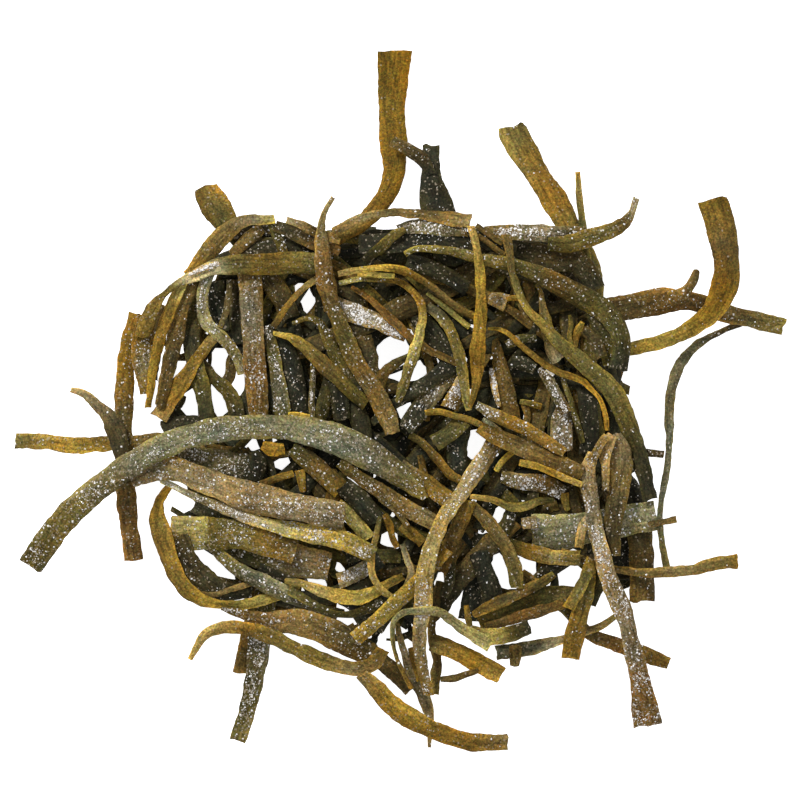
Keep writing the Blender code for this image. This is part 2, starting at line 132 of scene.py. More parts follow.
# The hidden straps: in the shade, as filling, and round the flank.
HIDDEN_SALT = 0.25
SHADED_SEED = 900
SHADED_SHARE = 0.6  # straps in the shade lie at this share of the core's height
FILL_SEED = 1000
# Painted shade: the filling is coloured dark for the shade deep in the heap.
FILL_SHADE_COLOURS = ["darkbrown", "umber", "dark", "dark", "moss", "dark", "darkbrown", "black"]
FILL_TRIES = 9000
FILL_MOST = 520
FILL_OPEN_CELLS = 4  # with fewer than this left open it stops before the last try
FILL_GAINS = (6, 2)  # cells that a strap has to cover, in the first third of the tries and later
FILL_LENGTHS = (14, 50)
FILL_WIDTHS = (1.1, 3.3)
FILL_SHORTER = 0.86  # by the last try
FILL_NARROWER = 0.55
FILL_TURN = 0.7
FILL_SHARES = (0.1, 0.98)
FILL_SHARE_POWER = 0.8
GAP_MARGIN = 0.2
GAP_CLEARANCE = 0.1
COVERED = 0.86  # share of a strap's width that surely hides what is below
COVER_PROBES = 13  # places across that share
ROUTE_POINTS = 9
ROUTE_SWAY = 0.35
ROUTE_TAPER = 0.25
ROUTE_TAPER_TURN = 2.2
FLANK_SEED = 5000
# Painted shade: the flank straps are coloured dark for the shade round the heap's foot.
FLANK_SHADE_COLOURS = ["dark", "umber", "moss", "darkbrown", "brown", "dark", "darkbrown", "moss"]
FLANK_TRIES = 190
FLANK_SHELLS = (0.72, 1.03)  # shares of the core's half sizes
FLANK_JITTER = 0.4
FLANK_SWEEP = (0.2, 0.8)  # radians round the core
FLANK_STARTS = (0.04, 0.4)  # the heights of its ends, as shares of the core's
FLANK_ENDS = (0.06, 0.7)
FLANK_OUT = 0.06
FLANK_WIDTHS = (1.2, 3.4)
FLANK_TAPER = 0.35
FLANK_LEAN = 1.2
FLANK_TWIST = 0.3
FLANK_WAVE = 6.0
FLANK_LEAST = 6  # points on its route

# Salt grains.
SALT_COUNT = 7400
SALT_POWER = 2.6
SALT_TRIES = 4
SALT_DRIFT = 2.6  # the length of its drifts
SALT_DRIFT_SEEDS = (77, 78)
SALT_KEPT = (0.5, 1.1)
SALT_KEPT_LIMITS = (0.08, 1.0)
SALT_SIZE = 0.54
SALT_SIZES = (-2.1, 0.35)
SALT_SIZE_LIMITS = (0.08, 0.34)
SALT_CORNERS = (0.6, 1.0)
SALT_SIDES = (0.7, 1.2)

# Colours as they look in daylight, red, green and blue out of 255. Black and dark also carry painted shade of
# the deep heap.
COLOURS = {
    "black": (38, 37, 30),
    "dark": (47, 45, 34),
    "moss": (75, 68, 37),
    "darkbrown": (65, 55, 35),
    "umber": (87, 70, 39),
    "brown": (98, 80, 47),
    "russet": (105, 79, 44),
    "olive": (104, 92, 52),
    "ochre": (114, 89, 39),
    "honey": (107, 81, 26),
    "gold": (143, 113, 46),
    "yellow": (150, 130, 67),
    "straw": (155, 132, 82),
    "amber": (171, 135, 66),
    "paleolive": (160, 147, 93),
    "tan": (125, 105, 69),
    "cream": (154, 133, 101),
    "mauve": (115, 100, 77),
    "grey": (88, 82, 64),
    "sage": (122, 117, 92),
    "pale": (186, 176, 150),
}


def read_points(text):
    """Points from numbers with spaces between them and a comma after each point."""
    return [tuple(float(number) for number in point.split()) for point in text.split(",")]


def read_straps(text):
    """Straps from "colours salt: route;", where a route has x, y and width. A # starts a note."""
    lines = [line for line in text.splitlines() if not line.startswith("#")]
    straps = []
    for entry in " ".join(lines).split(";")[:-1]:
        head, route = entry.split(":")
        names, frost = head.rsplit(maxsplit=1)
        straps.append((names.strip(), float(frost), read_points(route)))
    return straps


# Straps in the shade between the ones that show and below them all; their dark colour is painted shade.
SHADED = read_straps("""
dark 0.3: 15.5 24.4 2,20 23.9 2.2,26 23 2;
dark 0.3: 14.5 19.6 2,18 18.2 2.2,22 16 2;
darkbrown 0.3: 17 3.4 1.8,18.4 0.6 2,19.6 -2.4 2;
dark 0.3: -5.8 -0.4 1.8,-4.6 -3.4 2.2,-3.2 -6.6 2.2;
dark 0.3: 15.8 -19.4 1.4,17 -20.5 1.8,19 -21.6 1.6;
dark 0.3: -8 25 1.8,-5 25.2 1.8,-3.6 25.2 1.6;
dark 0.3: -9.4 22 2,-7 24 2.2,-4.6 25 1.6;
dark 0.3: 18.6 -15.4 1.6,17.2 -17.6 1.8,16.4 -19.6 1.6;
""")

# Dark and black straps deep in the heap carry painted shade besides their own dark tone.
# The straps that show, lowest first. Salt is from 0, none, to 1, crusted.
STRAPS = read_straps("""
# Lowest, mostly hidden.
brown 0.2: -20 -26 2.2,-22.5 -34 2.2,-23.3 -37.5 2.2,-23.9 -40.8 2.2;
dark moss grey moss olive 0.8: -18.6 -24 3,-20.8 -33 3.2,-21.2 -38 3.1,-22 -43 3,-23.2 -47.5 2.7,
-24.3 -51 2.5;
black 0.3: 33 -14 3.2,33 -20 3.8,33.3 -25.2 3;
dark black darkbrown umber 0.3: 28 -7 3,34.8 -15 3.6,35.6 -19 3.8,36 -24 4,36.2 -30.1 3.8;
black 0.4: 12.8 -20 3.4,11 -29 3.4,10.3 -33 3.4;
umber darkbrown dark 0.3: 17 -18 3.2,12.5 -22.5 3.2,9 -26.5 3.4,5.5 -31 3.2;
black 0.4: 11.6 -22.6 3,12.6 -25.6 3.1,13.6 -28.8 3.2,12.8 -32 2.2;
darkbrown 0.4: 19.8 -27.2 1.6,21.4 -25.8 2.2,23.6 -24 1.6;
dark 0.4: 20.8 -26 1.6,23 -25 2,25 -23.6 1.8;
sage 0.85: 19.6 -19.7 5.2,24 -19.6 5.3,29 -18.8 5,34 -17.8 4.8,38.3 -17.2 4.8;
mauve 0.8: 18.2 -18.4 1.6,20.4 -18.2 1.8;
brown moss russet ochre 0.3: 18 -26 1.8,25 -31.5 1.8,28 -34.7 2,32.5 -36.6 2.4,36.1 -37.9 2.4,
40.4 -39.4 1.9;
olive tan cream grey grey 0.3: 32.6 -31.9 0.8,30.1 -33.6 1,27 -34.8 1.3,24.5 -35.6 1.6,21 -36.6 1.9,
18 -37.3 2.3,14.4 -37.8 2.4;
brown 0.2: 17.3 -36.6 1.8,17.1 -39.7 1.4;
# The straps that stick out at the top.
honey honey honey ochre umber 0.1: -0.8 52.3 5.3,-1.2 45 4.4,-1 38 3.8,-0.9 34 3.2,-2.8 29.5 2.9,
-5.5 26.5 2.8,-9 24.5 2.6,-14 20.5 2.6;
dark black dark dark 0.25: 4.6 38.1 2.6,4.6 34 3,5.2 30 4.6,6.5 26 5,8 20 5;
black darkbrown brown 0.4: 4.7 33.6 1.4,3.6 35.6 2.1,1.2 37.4 1.9,-1.2 38.6 1.6;
olive ochre olive moss 0.2: 16.7 41 4.2,16.9 40.3 4.8,17.7 38.6 4.4,19.8 35 3.9,22.9 30 3.8,25.2 26 3.4,
28.5 20 2.6,29.4 9 2;
straw olive olive dark 0.1: 26.5 34.1 0.9,26.8 30 1,27.3 26 1.1,27.8 23 1,28 16 1;
# Right side.
umber grey grey grey olive 0.3: 52.5 12 0.8,48 10.2 0.9,45 8.6 1.3,42.3 6 1.5,40.9 3 1.5,40.3 0 1.6,
40.2 -5 1.2,39.8 -10 1,38.9 -15 0.9,38.7 -18 1,39 -21 1,39.7 -25 1.1;
darkbrown 0.4: 35 -7.6 1.2,39.4 -8.1 1.2;
brown 0.2: 37 -18.6 1,41.2 -17.7 1;
darkbrown umber russet brown olive 0.4: 29.5 12.8 3.6,32 13.4 4,35 14 4.2,40 14.9 3.6,44 14.6 2.8,
49 12.9 2.7,54 11.8 2.6,57.5 11 2.4;
brown 0.4: 40 14.9 2,42 15.8 2,43.5 17.5 1.4,44.3 19.3 0.9;
honey umber honey gold yellow olive 0.1: 46.7 30 4.3,48 25.5 4.4,48.8 21 4.2,48.5 17 4,46.8 13.5 3.4,
43.5 10.7 2.6,39.5 8.9 2.2,35.5 7.8 2.2,33 7.2 2,31.4 6.6 2;
brown brown tan ochre 0.2: 24 -22.5 1,32 -25.2 1,36 -25.7 1.2,40 -25.6 1.5,44 -25.2 1.6,47.5 -24.3 1.9,
50.3 -24 2.2;
# Left side.
olive gold brown umber 0.4: -57.7 -6.1 2.3,-53 -6.3 2.3,-49 -6.8 2.4,-45 -6.6 2.3,-41 -6.3 2.2,-29 -6 2.2;
ochre honey umber umber russet russet 0.4: -39.7 12.9 2,-40.8 6 2.8,-41.2 0 3,-41.2 -8 3,-40.8 -15 3.1,
-40.3 -20 2.9,-39.8 -24 2.8;
cream darkbrown darkbrown 0.2: -49.2 1.6 0.8,-47.2 0.9 1.3,-45.1 -0.8 1.8,-43.4 -2.5 2.4,-42.3 -4.7 3,
-41.4 -8 2.6,-40 -12 2.4;
grey dark 0.5: -30.8 -15.6 2,-28 -17 2.4,-22 -18.6 2.4,-16 -20.4 2;
straw paleolive moss moss mauve mauve 0.7: -34.2 -19.9 5.2,-28 -20 5,-22 -22 5,-15 -24 4.6,-10.5 -24.8 4;
darkbrown dark 0.4: -33.3 -20.5 3.4,-32 -23.5 3.6,-30 -26.2 4,-27 -28 2.8,-22 -28.8 1.8;
dark 0.4: -31 -28.6 1,-27 -29.3 1.2,-22.5 -28.8 1.6;
black 0.4: -21 -25 1.6,-18.5 -26.2 1.8,-15.5 -27.2 1.2;
brown tan brown 0.1: -30.5 -28.6 0.8,-28 -29 0.8,-25 -28.1 0.9,-22 -27.2 0.9;
gold ochre ochre gold yellow olive 0.1: -34.4 -12.8 1,-35.9 -15.3 1.6,-36.1 -18.1 2.8,-35.2 -21 2.8,
-34.2 -24 2.7,-32.8 -27 2.5,-30.4 -29.3 2,-27 -30.4 1.6,-23 -30.4 1.8,-19 -29.3 2,-15 -28 1.6;
olive olive grey sage grey moss 0.7: -28.6 -21 1.6,-27 -22.8 1.8,-25 -24.6 2.2,-22.6 -26 2.6,-20 -27.4 2.8,
-16.5 -29.1 2.4,-13 -30.7 1.6,-8.4 -31.6 0.9;
moss olive ochre brown 0.6: -28.4 -20 4.8,-24 -20 4.8,-20 -21 4.8,-15.4 -22 4.6;
dark grey grey dark 0.8: -33 -8.5 4.2,-28 -9.3 4.2,-22 -10.4 4.2;
black 0.4: -21.6 -7.6 1.6,-21.2 -10 2.4,-21.6 -12 1.8;
ochre gold 0.2: -20.6 -6.7 1.2,-19.1 -7.3 2.2,-17.2 -7.4 1.4;
ochre 0.2: -14.9 -10.4 1.5,-14.7 -12 1.3,-14.4 -13.7 0.8;
umber ochre 0.2: -20.8 -12.6 1.2,-18.9 -11.9 1.2,-15.9 -11 1;
moss umber ochre 0.5: -16.2 -7.2 2.2,-13.6 -9 2.9,-11.2 -11.2 3,-8.9 -13.3 3;
olive paleolive 0.4: -9.5 -15.4 2.2,-6.8 -17.8 2.3,-4.8 -20.6 2;
dark 0.4: -8.5 -12.5 3,-6 -15 3.2,-3.5 -18 3;
# Below.
moss cream grey mauve tan 0.5: -0.5 -33 0.8,0.3 -36.5 1.2,1 -39 1.5,2.2 -41.8 1.8,3.6 -44.5 2,4.4 -47.5 1.4,
4.4 -52.2 0.5;
brown umber darkbrown 0.2: -8 -34 2.2,-3.5 -38.5 2.4,-1 -40.5 2.4,1.5 -43.5 2;
ochre 0.2: 1.5 -37 0.8,2.2 -39.5 1,3 -42 0.9;
umber darkbrown umber umber olive 0.2: 6 -27 1.3,5.2 -31 1.2,4.7 -34 1.3,5.1 -37 1.4,5.5 -39 1.2,
5.3 -41 1.5,5.2 -44 1.3;
dark 0.4: -9 -29.5 2,-5 -31.5 2.4,-2 -34 2.2;
olive moss moss dark 0.5: -16.5 -28.2 1.4,-13.5 -30.1 1.4,-10.8 -31.5 1.1,-7.5 -31.9 1,-5 -31.1 1.6,
-2.5 -30 1.8;
moss russet tan umber umber 0.5: -26.5 -31 0.8,-22 -32.3 1.8,-20 -32.9 2.6,-15 -33.1 3.9,-10 -34.8 4.2,
-7 -36.4 4,-4 -38 3;
olive moss moss umber 0.2: 11.8 -33 3,16 -31.5 4.2,20 -30.1 4.8,24 -29.2 3.2,26.8 -28.8 2;
umber russet umber 0.2: 12.6 -33.8 1.1,17 -32.5 1.5,21 -31.3 1.7,24.4 -30.3 1.4;
ochre umber umber olive 0.2: 10.9 -31.9 1.2,14 -30.4 1.7,18 -28.6 1.7,21.4 -26.9 1.6,23 -25.8 1;
ochre moss 0.1: 9.9 -30.6 0.8,10.1 -32 1,10.4 -33.8 1;
olive paleolive moss dark 0.3: 10.5 -34.4 2,13 -35.2 2.5,16 -34.9 2.2,19.3 -33.8 2;
moss dark 0.3: 29.7 -24 2.4,29.4 -27 2.4,28.4 -30.4 1.6;
ochre olive ochre ochre 0.3: 28.5 -23.5 1.3,28 -26 2.3,27.4 -29 3,26.7 -32 3,26 -35 2.9,25.4 -38.5 2.7;
moss olive ochre 0.2: 28 -25.6 1.6,26.6 -28.4 1.8,25 -31 1.9;
umber ochre gold amber 0.2: 4.5 -36 2.4,7 -36.9 2.8,9.5 -38 2.9,12 -39.4 2.8,15 -41 2.7;
umber 0.1: 6 -41.6 1,8.2 -41.4 1.1,10 -40.8 1,11.6 -40.2 0.9;
# The deep middle.
dark 0.4: 9.5 -3 3,8.5 -8 3,9 -11 3,9.5 -14 3;
moss mauve umber dark 1.1: 15 -11.4 2,18 -12.1 2.8,21.5 -12.6 2.8,24.5 -14 2;
moss ochre straw olive 0.4: 16.2 -21.4 2,19.5 -22.7 2.3,23 -23.4 2.3,26.8 -23.6 2.3;
dark 0.4: 13.7 -14.6 1.8,12.8 -17.2 2,11.6 -19.4 1.8;
dark moss 0.6: 16.8 -16.2 2,15.9 -18.4 2.2,15 -20.4 1.6;
dark 0.4: 7.6 -24.2 1.3,7.4 -27 1.3,6.4 -29.4 1.4;
brown brown moss 0.3: 10.5 -15.6 1.6,13.2 -18.3 1.9,15.6 -21.5 2,17 -25 2.4,17.4 -28 2;
cream sage 1.2: -9.2 -27 2.4,-6.5 -25.8 2.5,-3 -23.7 2.4;
dark 0.4: -8 -23.4 2,-5 -22.6 2.4,-3 -25.4 2;
olive straw yellow yellow ochre 0.2: -17 -26.9 1,-14.5 -27.3 1.2,-12 -28.3 1.8,-9 -29.2 2.2,-6 -29.3 2.1,
-4 -28.6 1.8,-1.5 -27.2 1.3,0.5 -26.2 1.1;
ochre 0.2: -2.3 -17 0.8,-1.5 -18.8 1,-1 -20.8 1,-0.5 -22 0.8;
ochre 0.2: 0 -18.8 1.2,1.8 -20 1.6,3.4 -21.4 1.4;
moss straw olive 0.2: -3 -17.4 0.8,-3.5 -20 0.9,-4.2 -23 1,-4.1 -26 1,-3 -28 1,-0.8 -29.5 1;
grey cream grey 0.2: 0.3 -21.4 0.9,1 -23.6 1,1.7 -25.6 1,0.9 -28 1;
moss umber ochre 0.2: 1.5 -5.2 1.2,3.5 -6.6 1.3,5.5 -8.8 1.4,7.3 -10.8 1.4,9 -12.1 1.3;
grey ochre ochre 0.6: 0 -9.6 1.6,3 -11.8 2.4,6 -14 2.8,8.4 -15.8 2.8;
black 0.4: 27.4 2.6 2.6,28 -1 3,28.2 -5 3,28 -8 2.6;
umber mauve mauve 1.1: 24.4 -0.5 1.6,24.1 -2.5 2.8,24 -5 3.2,24.2 -7.5 3;
olive moss moss 0.4: 24.1 3.4 0.8,24.9 1.4 0.8,25.6 -1 0.9,26.3 -3.2 0.9,27.2 -6.4 0.9;
umber grey umber 0.9: 20.9 4.9 1.2,22.3 2.6 1.8,23.6 0.3 1.8,24.8 -1.8 1.6;
pale 1.3: 21.8 4.6 0.5,22.9 3.7 0.6;
moss 0.8: 15.8 8.2 1,18 9 1.6,20.2 9.2 1.4;
dark 0.7: 16.5 5.6 2,18.5 5.4 2.2,20.2 4.6 2;
brown 0.2: 18.5 -0.4 1.1,19 -2.2 1.2,18.8 -4 1.1;
olive ochre 0.1: 17.9 -0.2 0.7,19.4 -0.5 0.9,21.1 -1 0.9;
olive tan olive brown cream 0.4: 20.3 17.2 0.5,20.9 16.2 0.7,21.1 14.4 1,21.6 12 1.8,22.2 9.8 2.2,
22.9 7.6 2.3,23.7 5.9 2.2;
umber brown brown umber 0.4: 14.2 9.2 0.8,14.6 7 1.6,14.9 5 2.3,15.2 3 3,15.7 1 3.2,16.3 -1 3,16.8 -3 2.8;
tan cream tan 1.3: 13.6 4.7 0.8,13.9 3 1,14.2 1.2 0.8,14.8 -1 0.6;
yellow ochre olive 0: 27.2 11.6 0.7,26.6 10.4 1.2,26.1 9 1,26 7.6 0.7;
moss olive 0: 25.3 12.7 0.5,25.5 11.3 0.7,25.3 9.6 0.7,25.6 8 0.6;
dark moss 0.4: 29 13.4 3,31 9.4 3.6,31.8 5.4 3.2;
darkbrown 0.4: 27.3 10.6 1.4,28.8 8.9 1.8,30 6.4 1.6;
tan cream 1.1: 13.2 15.3 1.8,15.7 14.5 2.7;
ochre 0: 15.8 15 0.6,17 15.3 0.8,18.2 15 0.7;
dark black 0.3: 1 20.5 2.5,5 19.5 2.5,10 16.5 2.5;
moss mauve dark dark 0.8: 8.5 4.5 2.6,5.5 1.8 2.8,3 -1.2 2.8,0.8 -4.3 2.6;
cream tan brown 1.3: 9.3 3.4 1.4,8.4 0.9 2.4,7.4 -1.2 3;
moss 0.4: 9.5 -3 2.4,7.5 -5 2.4,5 -6.5 2.4;
gold ochre ochre 0.1: 3.7 -1.9 0.8,5.5 -1.7 1,8 -2.3 1,10.3 -2.9 1,12 -3.7 1;
pale cream 0.2: 12.3 -2.8 0.7,13.8 -3.8 0.9,15.6 -5 0.5;
# Along the top edge.
ochre moss moss dark 0.2: -29.1 31.9 3.5,-28.8 31 4,-28.2 30 4.2,-27.6 29 4.3,-26.7 27.8 4,-25.4 25.8 3.4,
-23.5 23.5 3,-17 15 3;
dark 0.4: -20.4 25.6 2,-19.8 23.5 3.2,-19.2 20 3;
darkbrown dark 0.4: -25 21.6 2.4,-21 22.6 3,-16 23 3.2,-11 22.6 3;
darkbrown black 0.4: -22 24.8 1.2,-25 25 1.2,-27 23.6 1.2,-28.6 21.6 1;
darkbrown 0.8: -25 24.6 2,-22.2 25.6 2.2,-19.4 25.6 2;
umber brown umber 0.6: -25.2 21.6 1.5,-23.4 23.2 2.1,-21.4 24.9 2.2,-20.4 25.6 1.4;
moss 0.6: -19.3 26.6 1.2,-18.2 24 1.6,-17.2 21.4 1.6;
darkbrown darkbrown russet 0.4: -18.6 26 2,-16 25 2.2,-13 23.6 2.2,-9 22 1.6;
cream umber tan 0.2: -16.9 26.8 1.2,-14.5 26 1.5,-12.4 24.9 1.5,-9 23.6 1;
yellow mauve brown brown ochre ochre 0.3: -18.6 27 1.4,-20.2 26.9 1.5,-23.4 26.6 1.9,-26.1 24.8 2.6,
-28.2 22.5 2.8,-30.2 20.2 2.4,-32 18.5 1.2;
black 0.4: -6 23.2 3,0 23.4 3.4,6 23.8 3.6,12 22.9 3.6;
dark grey grey umber 0.9: -0.4 25.4 1.2,3 25.9 2.2,6.5 25.7 2.8,10 25.2 2;
brown tan brown brown tan 0.3: -10 24.9 1.4,-6 26.9 1.4,-2 27.8 1.3,3 27.6 1.5,7 27 2,10.6 26.6 2;
dark darkbrown dark 0.25: 16 21.8 4,21.5 21.2 4.4,26.5 20.3 3.4,29.4 16.5 2.6;
dark 0.4: 10.4 25.2 1.4,13 23.8 2.6,17.5 22.6 2.6;
umber brown grey mauve grey umber 1.2: 12.6 24.9 1.8,16 25 2.4,20 24.8 2.6,24 24.6 2.4,27 24.5 2.3;
cream brown olive olive moss 0.5: 35.3 30.2 0.9,34.5 28 1,33.2 26.2 2,30.6 24.9 2.3,28 24.1 2.8,25 23.2 2.6,
22 23.2 2;
dark moss moss 0.4: -5.4 20.6 1.4,-3 22.6 1.6,-0.6 24.6 1.5,0.8 25.3 0.9;
brown umber 0.1: 11.3 26 0.8,15.2 23.2 0.8;
umber brown 0.1: 11.5 24.5 0.8,15.5 21.5 0.9;
# Left part of the middle.
dark 0.4: -35.5 -4.2 2.2,-32 -3.4 2.2,-27 -3.6 2.2;
darkbrown dark 0.4: -35 14 2,-36 10 2,-36.8 6 2,-37 3 1.6;
umber darkbrown 0.2: -24.4 7.6 1.6,-25.1 5.5 1.9,-25.4 3.6 1.7,-26.4 2.1 1.4;
dark moss dark 0.4: -29.8 5.6 1.8,-27.8 3.3 1.9,-25.6 1.2 2.3,-24.6 -1 2.7,-24.4 -3.5 2.6;
moss dark moss dark 0.3: -30.7 16 2.2,-31.1 12 2.5,-31 8 2.6,-30.3 4.6 2.5,-29.5 1.5 2.4,-28.9 -1.5 2.3,
-28.5 -4 2.3;
dark 0.4: -27.6 17.8 2.6,-27.4 14 2.6,-26.4 10.4 2.4;
darkbrown dark 0.4: -24.6 18 2.2,-24.4 13 2.4,-24.2 8.5 2;
tan ochre ochre ochre tan 0.2: -27.5 9.7 1.4,-30 6.4 2,-32.3 3 2.4,-34.3 0 2.6,-36 -2.8 2.7;
umber brown darkbrown umber 0.3: -30 18.6 2.2,-31.3 16.5 2.2,-32.9 13 2.4,-33.6 9 2.5,-34.4 5 2.5,-35.1 2 2,
-35.9 -1 1.6;
ochre ochre tan ochre 0.6: -37.8 12.4 2.8,-38.3 9.5 3.2,-38.4 7 3.3,-38.2 4.5 3,-38 2 2.2,-38 1 1.4;
paleolive ochre ochre gold ochre 0.1: -32.2 18 1.6,-33.4 15.6 1.8,-34.6 12.5 2,-35.6 10 2,-36.2 7.5 1.8,
-36.8 4.5 1.5,-37.2 1.5 1.1,-37.6 -1.2 0.9;
sage sage sage olive sage 0.8: -28.4 18.8 1.6,-29.2 17 1.7,-29.5 14.6 1.8,-29 11.8 2,-27.2 10 1.8,
-25.5 8.2 1.8,-24.3 6.4 1.7,-23.4 4 1.6;
darkbrown brown 0.4: -25.4 18 0.9,-25.6 15 0.9,-26.1 12.5 0.9,-26.8 10.8 0.8;
darkbrown 0.4: -20 18.6 3.4,-17.8 15.5 3.6,-16.2 12.2 3;
black 0.4: -17.6 9.4 3,-16.3 5 3.4,-15.4 1 3.2,-14.8 -2.6 2.8;
dark moss grey moss 0.9: -19.8 11 1.8,-18.9 7 2,-18.2 3 2.2,-17.4 -2.5 2.4;
brown mauve russet brown 0.75: -22.4 19.6 3.6,-22 12 3.8,-21.7 6 3.4,-21.3 1 3,-21 -3.5 3;
dark moss 0.4: -9.8 5 2,-10.7 2 2.4,-11.5 -1 2.4,-12 -3 2.2;
black 0.4: -9.6 3 2.2,-9 0 2.6,-8.6 -3 2.6;
moss grey 0.8: -12.9 6 0.8,-13 3 0.8,-13.2 0 0.9,-13.1 -2.6 0.8;
olive moss moss dark 0.7: -15.9 11.5 0.6,-13.8 12.2 0.7,-12 11.6 1,-10.9 9.5 1.6,-9.7 6.8 1.8,-8 3.8 1.9,
-5.8 0.8 1.6;
yellow olive umber moss moss 0.2: -18.9 10 0.6,-16.5 9.4 1,-14.2 7.9 1.7,-12 5.9 2.2,-9.7 3.7 2.4,
-7.4 1.5 2.1,-5 -0.8 1.8;
yellow 0: -16.6 -2.2 0.6,-15 -2.2 0.9,-13.5 -2.4 0.5;
straw brown ochre umber 0: -12 18.3 0.9,-14 17 0.9,-15.6 15.4 0.9,-17.2 13.4 0.9,-18.9 10.8 0.8;
umber mauve cream umber 1.4: -11 14.5 3,-7 13 3,-3 11.5 2.6,1 9.6 2.2;
darkbrown 0.4: -5.6 9.6 3,-4.6 6 3,-4.4 2 3;
moss umber moss 0.2: 2.5 6.9 1,0.8 6.2 1.1,-1 5.2 1.3,-2.4 3.8 1.8,-3.3 1.5 2.4,-3 -1 2.4;
dark 0.4: 2.5 12.6 3,5 9.6 3.2,7.4 6 3;
dark 0.4: 8 5.6 2.6,5 3.2 2.6,2.2 1.4 2.6,0 0.6 2;
russet russet umber brown 0.2: -7.2 16.8 0.6,-5 15.4 0.8,-3 13.6 1.1,-1 11.7 1.6,1.2 9.6 1.3,4 7.6 1,
7 6.2 1,10 4.8 1;
grey olive olive paleolive 0.3: 4.2 14 1.4,6.2 12.3 1.5,7.8 9.8 1.5,8.7 7 1.5,9.3 4 1.5,9.9 0 1.3,
10.2 -1.6 0.9;
olive yellow 0: 4 15.9 0.6,6 14.4 0.7,8 12.8 0.8,10.4 10.8 0.8;
paleolive olive ochre ochre paleolive olive moss 0.4: -9 17.4 0.8,-6 18 0.9,-3 18 0.9,-0.4 17.7 1,
1.8 16.2 1.1,3 14.6 1.2,3.4 12.4 1.3,3 10.2 1.4,2.3 7.6 1.6,1.3 4.6 1.7,0.3 1.6 1.6,-0.3 -0.3 1;
yellow 0: -6.4 18.7 0.7,-3 18.6 0.8,-0.8 18.4 0.7;
tan yellow ochre brown ochre 0.1: -9.2 18.7 0.9,-6.4 19.3 1,-3 19.6 1.1,0 19.4 1.2,2 18.6 1.1,4 17.4 1.1,
6 15.8 1,8 14.2 1,11 12.4 1;
# Over the right shoulder.
yellow olive olive moss umber moss moss dark 0.4: 0.6 21.6 1.1,2 22.3 0.9,5 22.4 1,8 22 1.3,11 21.2 1.7,
14 20.6 2,17 20 2.3,20 18.9 2.7,23 17.5 3,27 15.3 3.2,30.6 13 3.2,32.6 10.2 3.2,33 7.4 3,32.4 4.6 3;
brown umber yellow olive olive olive moss dark dark 0.2: 15.8 24.6 1.6,16.2 21.8 1.2,16.6 19 1,
17.3 16.8 1.1,19 13.4 1.1,21.4 11 1.6,23.2 9 1.9,25.6 6.8 2.2,28.4 4.4 2.7,31.6 1.4 3,33.5 -2.5 3.2,
35.4 -7.5 2.5,36.7 -12.5 2.4,37.3 -15 2.3;
# Lower left layers.
pale grey cream paleolive yellow olive 0.9: -35.5 -12 0.9,-30 -14.6 1.2,-24 -17 1.7,-18 -18.9 2.2,
-13 -19.9 2.8,-8 -21 2.8,-4 -23 2.4;
mauve tan cream mauve mauve mauve 0.75: -40 -11.8 2.5,-34 -10.2 3.6,-29 -12 4.2,-23 -14.2 4.2,-17 -15.6 4.1,
-12 -16.6 4,-8.2 -17.2 3.7;
moss umber brown tan tan 0.6: -9 -9.2 1.6,-6 -11.6 2,-3 -13.5 2.4,0 -15.6 2.5,3 -17.2 2.4,6.2 -18.8 2.2;
brown 0.4: -3 -14.6 0.9,-0.5 -16.6 1,1.2 -18.8 0.9;
straw straw ochre olive olive tan ochre 0.3: -31.2 -38.6 0.8,-30.2 -36.6 1.2,-29 -34.9 1.6,-27.2 -34.1 1.8,
-25 -33.8 1.9,-22.4 -34.1 2,-20 -34.9 2.2,-15 -37.3 2.4,-10 -39.3 2.4,-6.5 -40 2.3,-4 -39.2 2.2,-2.5 -37 2;
ochre brown umber 0.3: 10 -15 2.4,8.8 -18.5 2.2,7.3 -22 2.2,6 -25.5 2;
# Lower right.
straw olive olive moss 0.1: 10.4 -14.4 0.8,12.4 -14.6 0.9,14.2 -15 0.9,16.4 -15.9 1.1,18.6 -15.9 1.3,
20.6 -15.1 1.2,22.9 -14.9 0.8;
ochre olive 0.1: 24.6 -13.8 1,24.6 -15 1.1,25 -16.4 0.8;
cream tan 0.5: 28.2 -17 1.3,27 -19.5 1.3,26.6 -22 1.4;
mauve brown darkbrown darkbrown 0.4: 32.1 -5.1 2,32.8 -7.6 3.2,32.8 -11 3.2,32.3 -14.3 3.2,31.7 -18 3,
31.5 -23 2.8;
cream tan 0.5: 31.7 -5.1 1.6,30.6 -7.2 2.2,30.5 -10.2 1.5,30.6 -13.5 1;
cream mauve cream mauve mauve russet russet 0.85: 28.7 -8.1 1.6,28 -10.2 2.1,28 -12.7 2.4,28.5 -15.3 2.4,
28.9 -18.5 2.6,29.6 -21.3 2.6,31 -26.5 2.8,33 -31 2.8,34.4 -36 2.7,35.6 -41 2.8,36.4 -45 3.7,37 -48.6 4.1;
brown tan 0.5: 28.5 -9 1.3,29.8 -6.6 1.2,30.8 -5.3 1.1;
# The big arch and what lies over the rest.
moss olive grey sage sage sage grey olive 0.7: -55.2 -24.8 3.7,-52.1 -20.3 3.8,-48.2 -16 4.1,
-43.8 -12.3 3.9,-40 -9.6 4.1,-35.5 -7 3.4,-30 -5 3.7,-25 -4.2 3.6,-20 -4 3.8,-15 -4.3 3.8,-10 -5.7 4.4,
-5.2 -7.8 4.4,-1.6 -10.1 4.1,1 -12 3.4,2.8 -13.6 2.2,3.9 -14.8 1;
olive olive ochre olive pale olive ochre ochre 0.3: -11.5 20.3 2.9,-16 20.4 3,-20 20.2 3,-25 20.1 2.7,
-28 19.6 2.4,-30.2 18.6 2,-32.7 17.6 1.3,-35.3 15.6 0.9,-36.8 13.7 2.2,-37.9 11.2 2.6,-38.5 9.3 2.2;
cream 1.4: -31.4 18.6 0.5,-30 19.3 1,-28.5 19.9 1.1,-27 20.3 0.6;
ochre gold yellow gold 0.6: 7 -22 2.2,3 -26.6 2.2,1 -28.6 2.3,-1 -30.5 2.3,-4 -33.3 2.2,-6.7 -35.6 2.1;
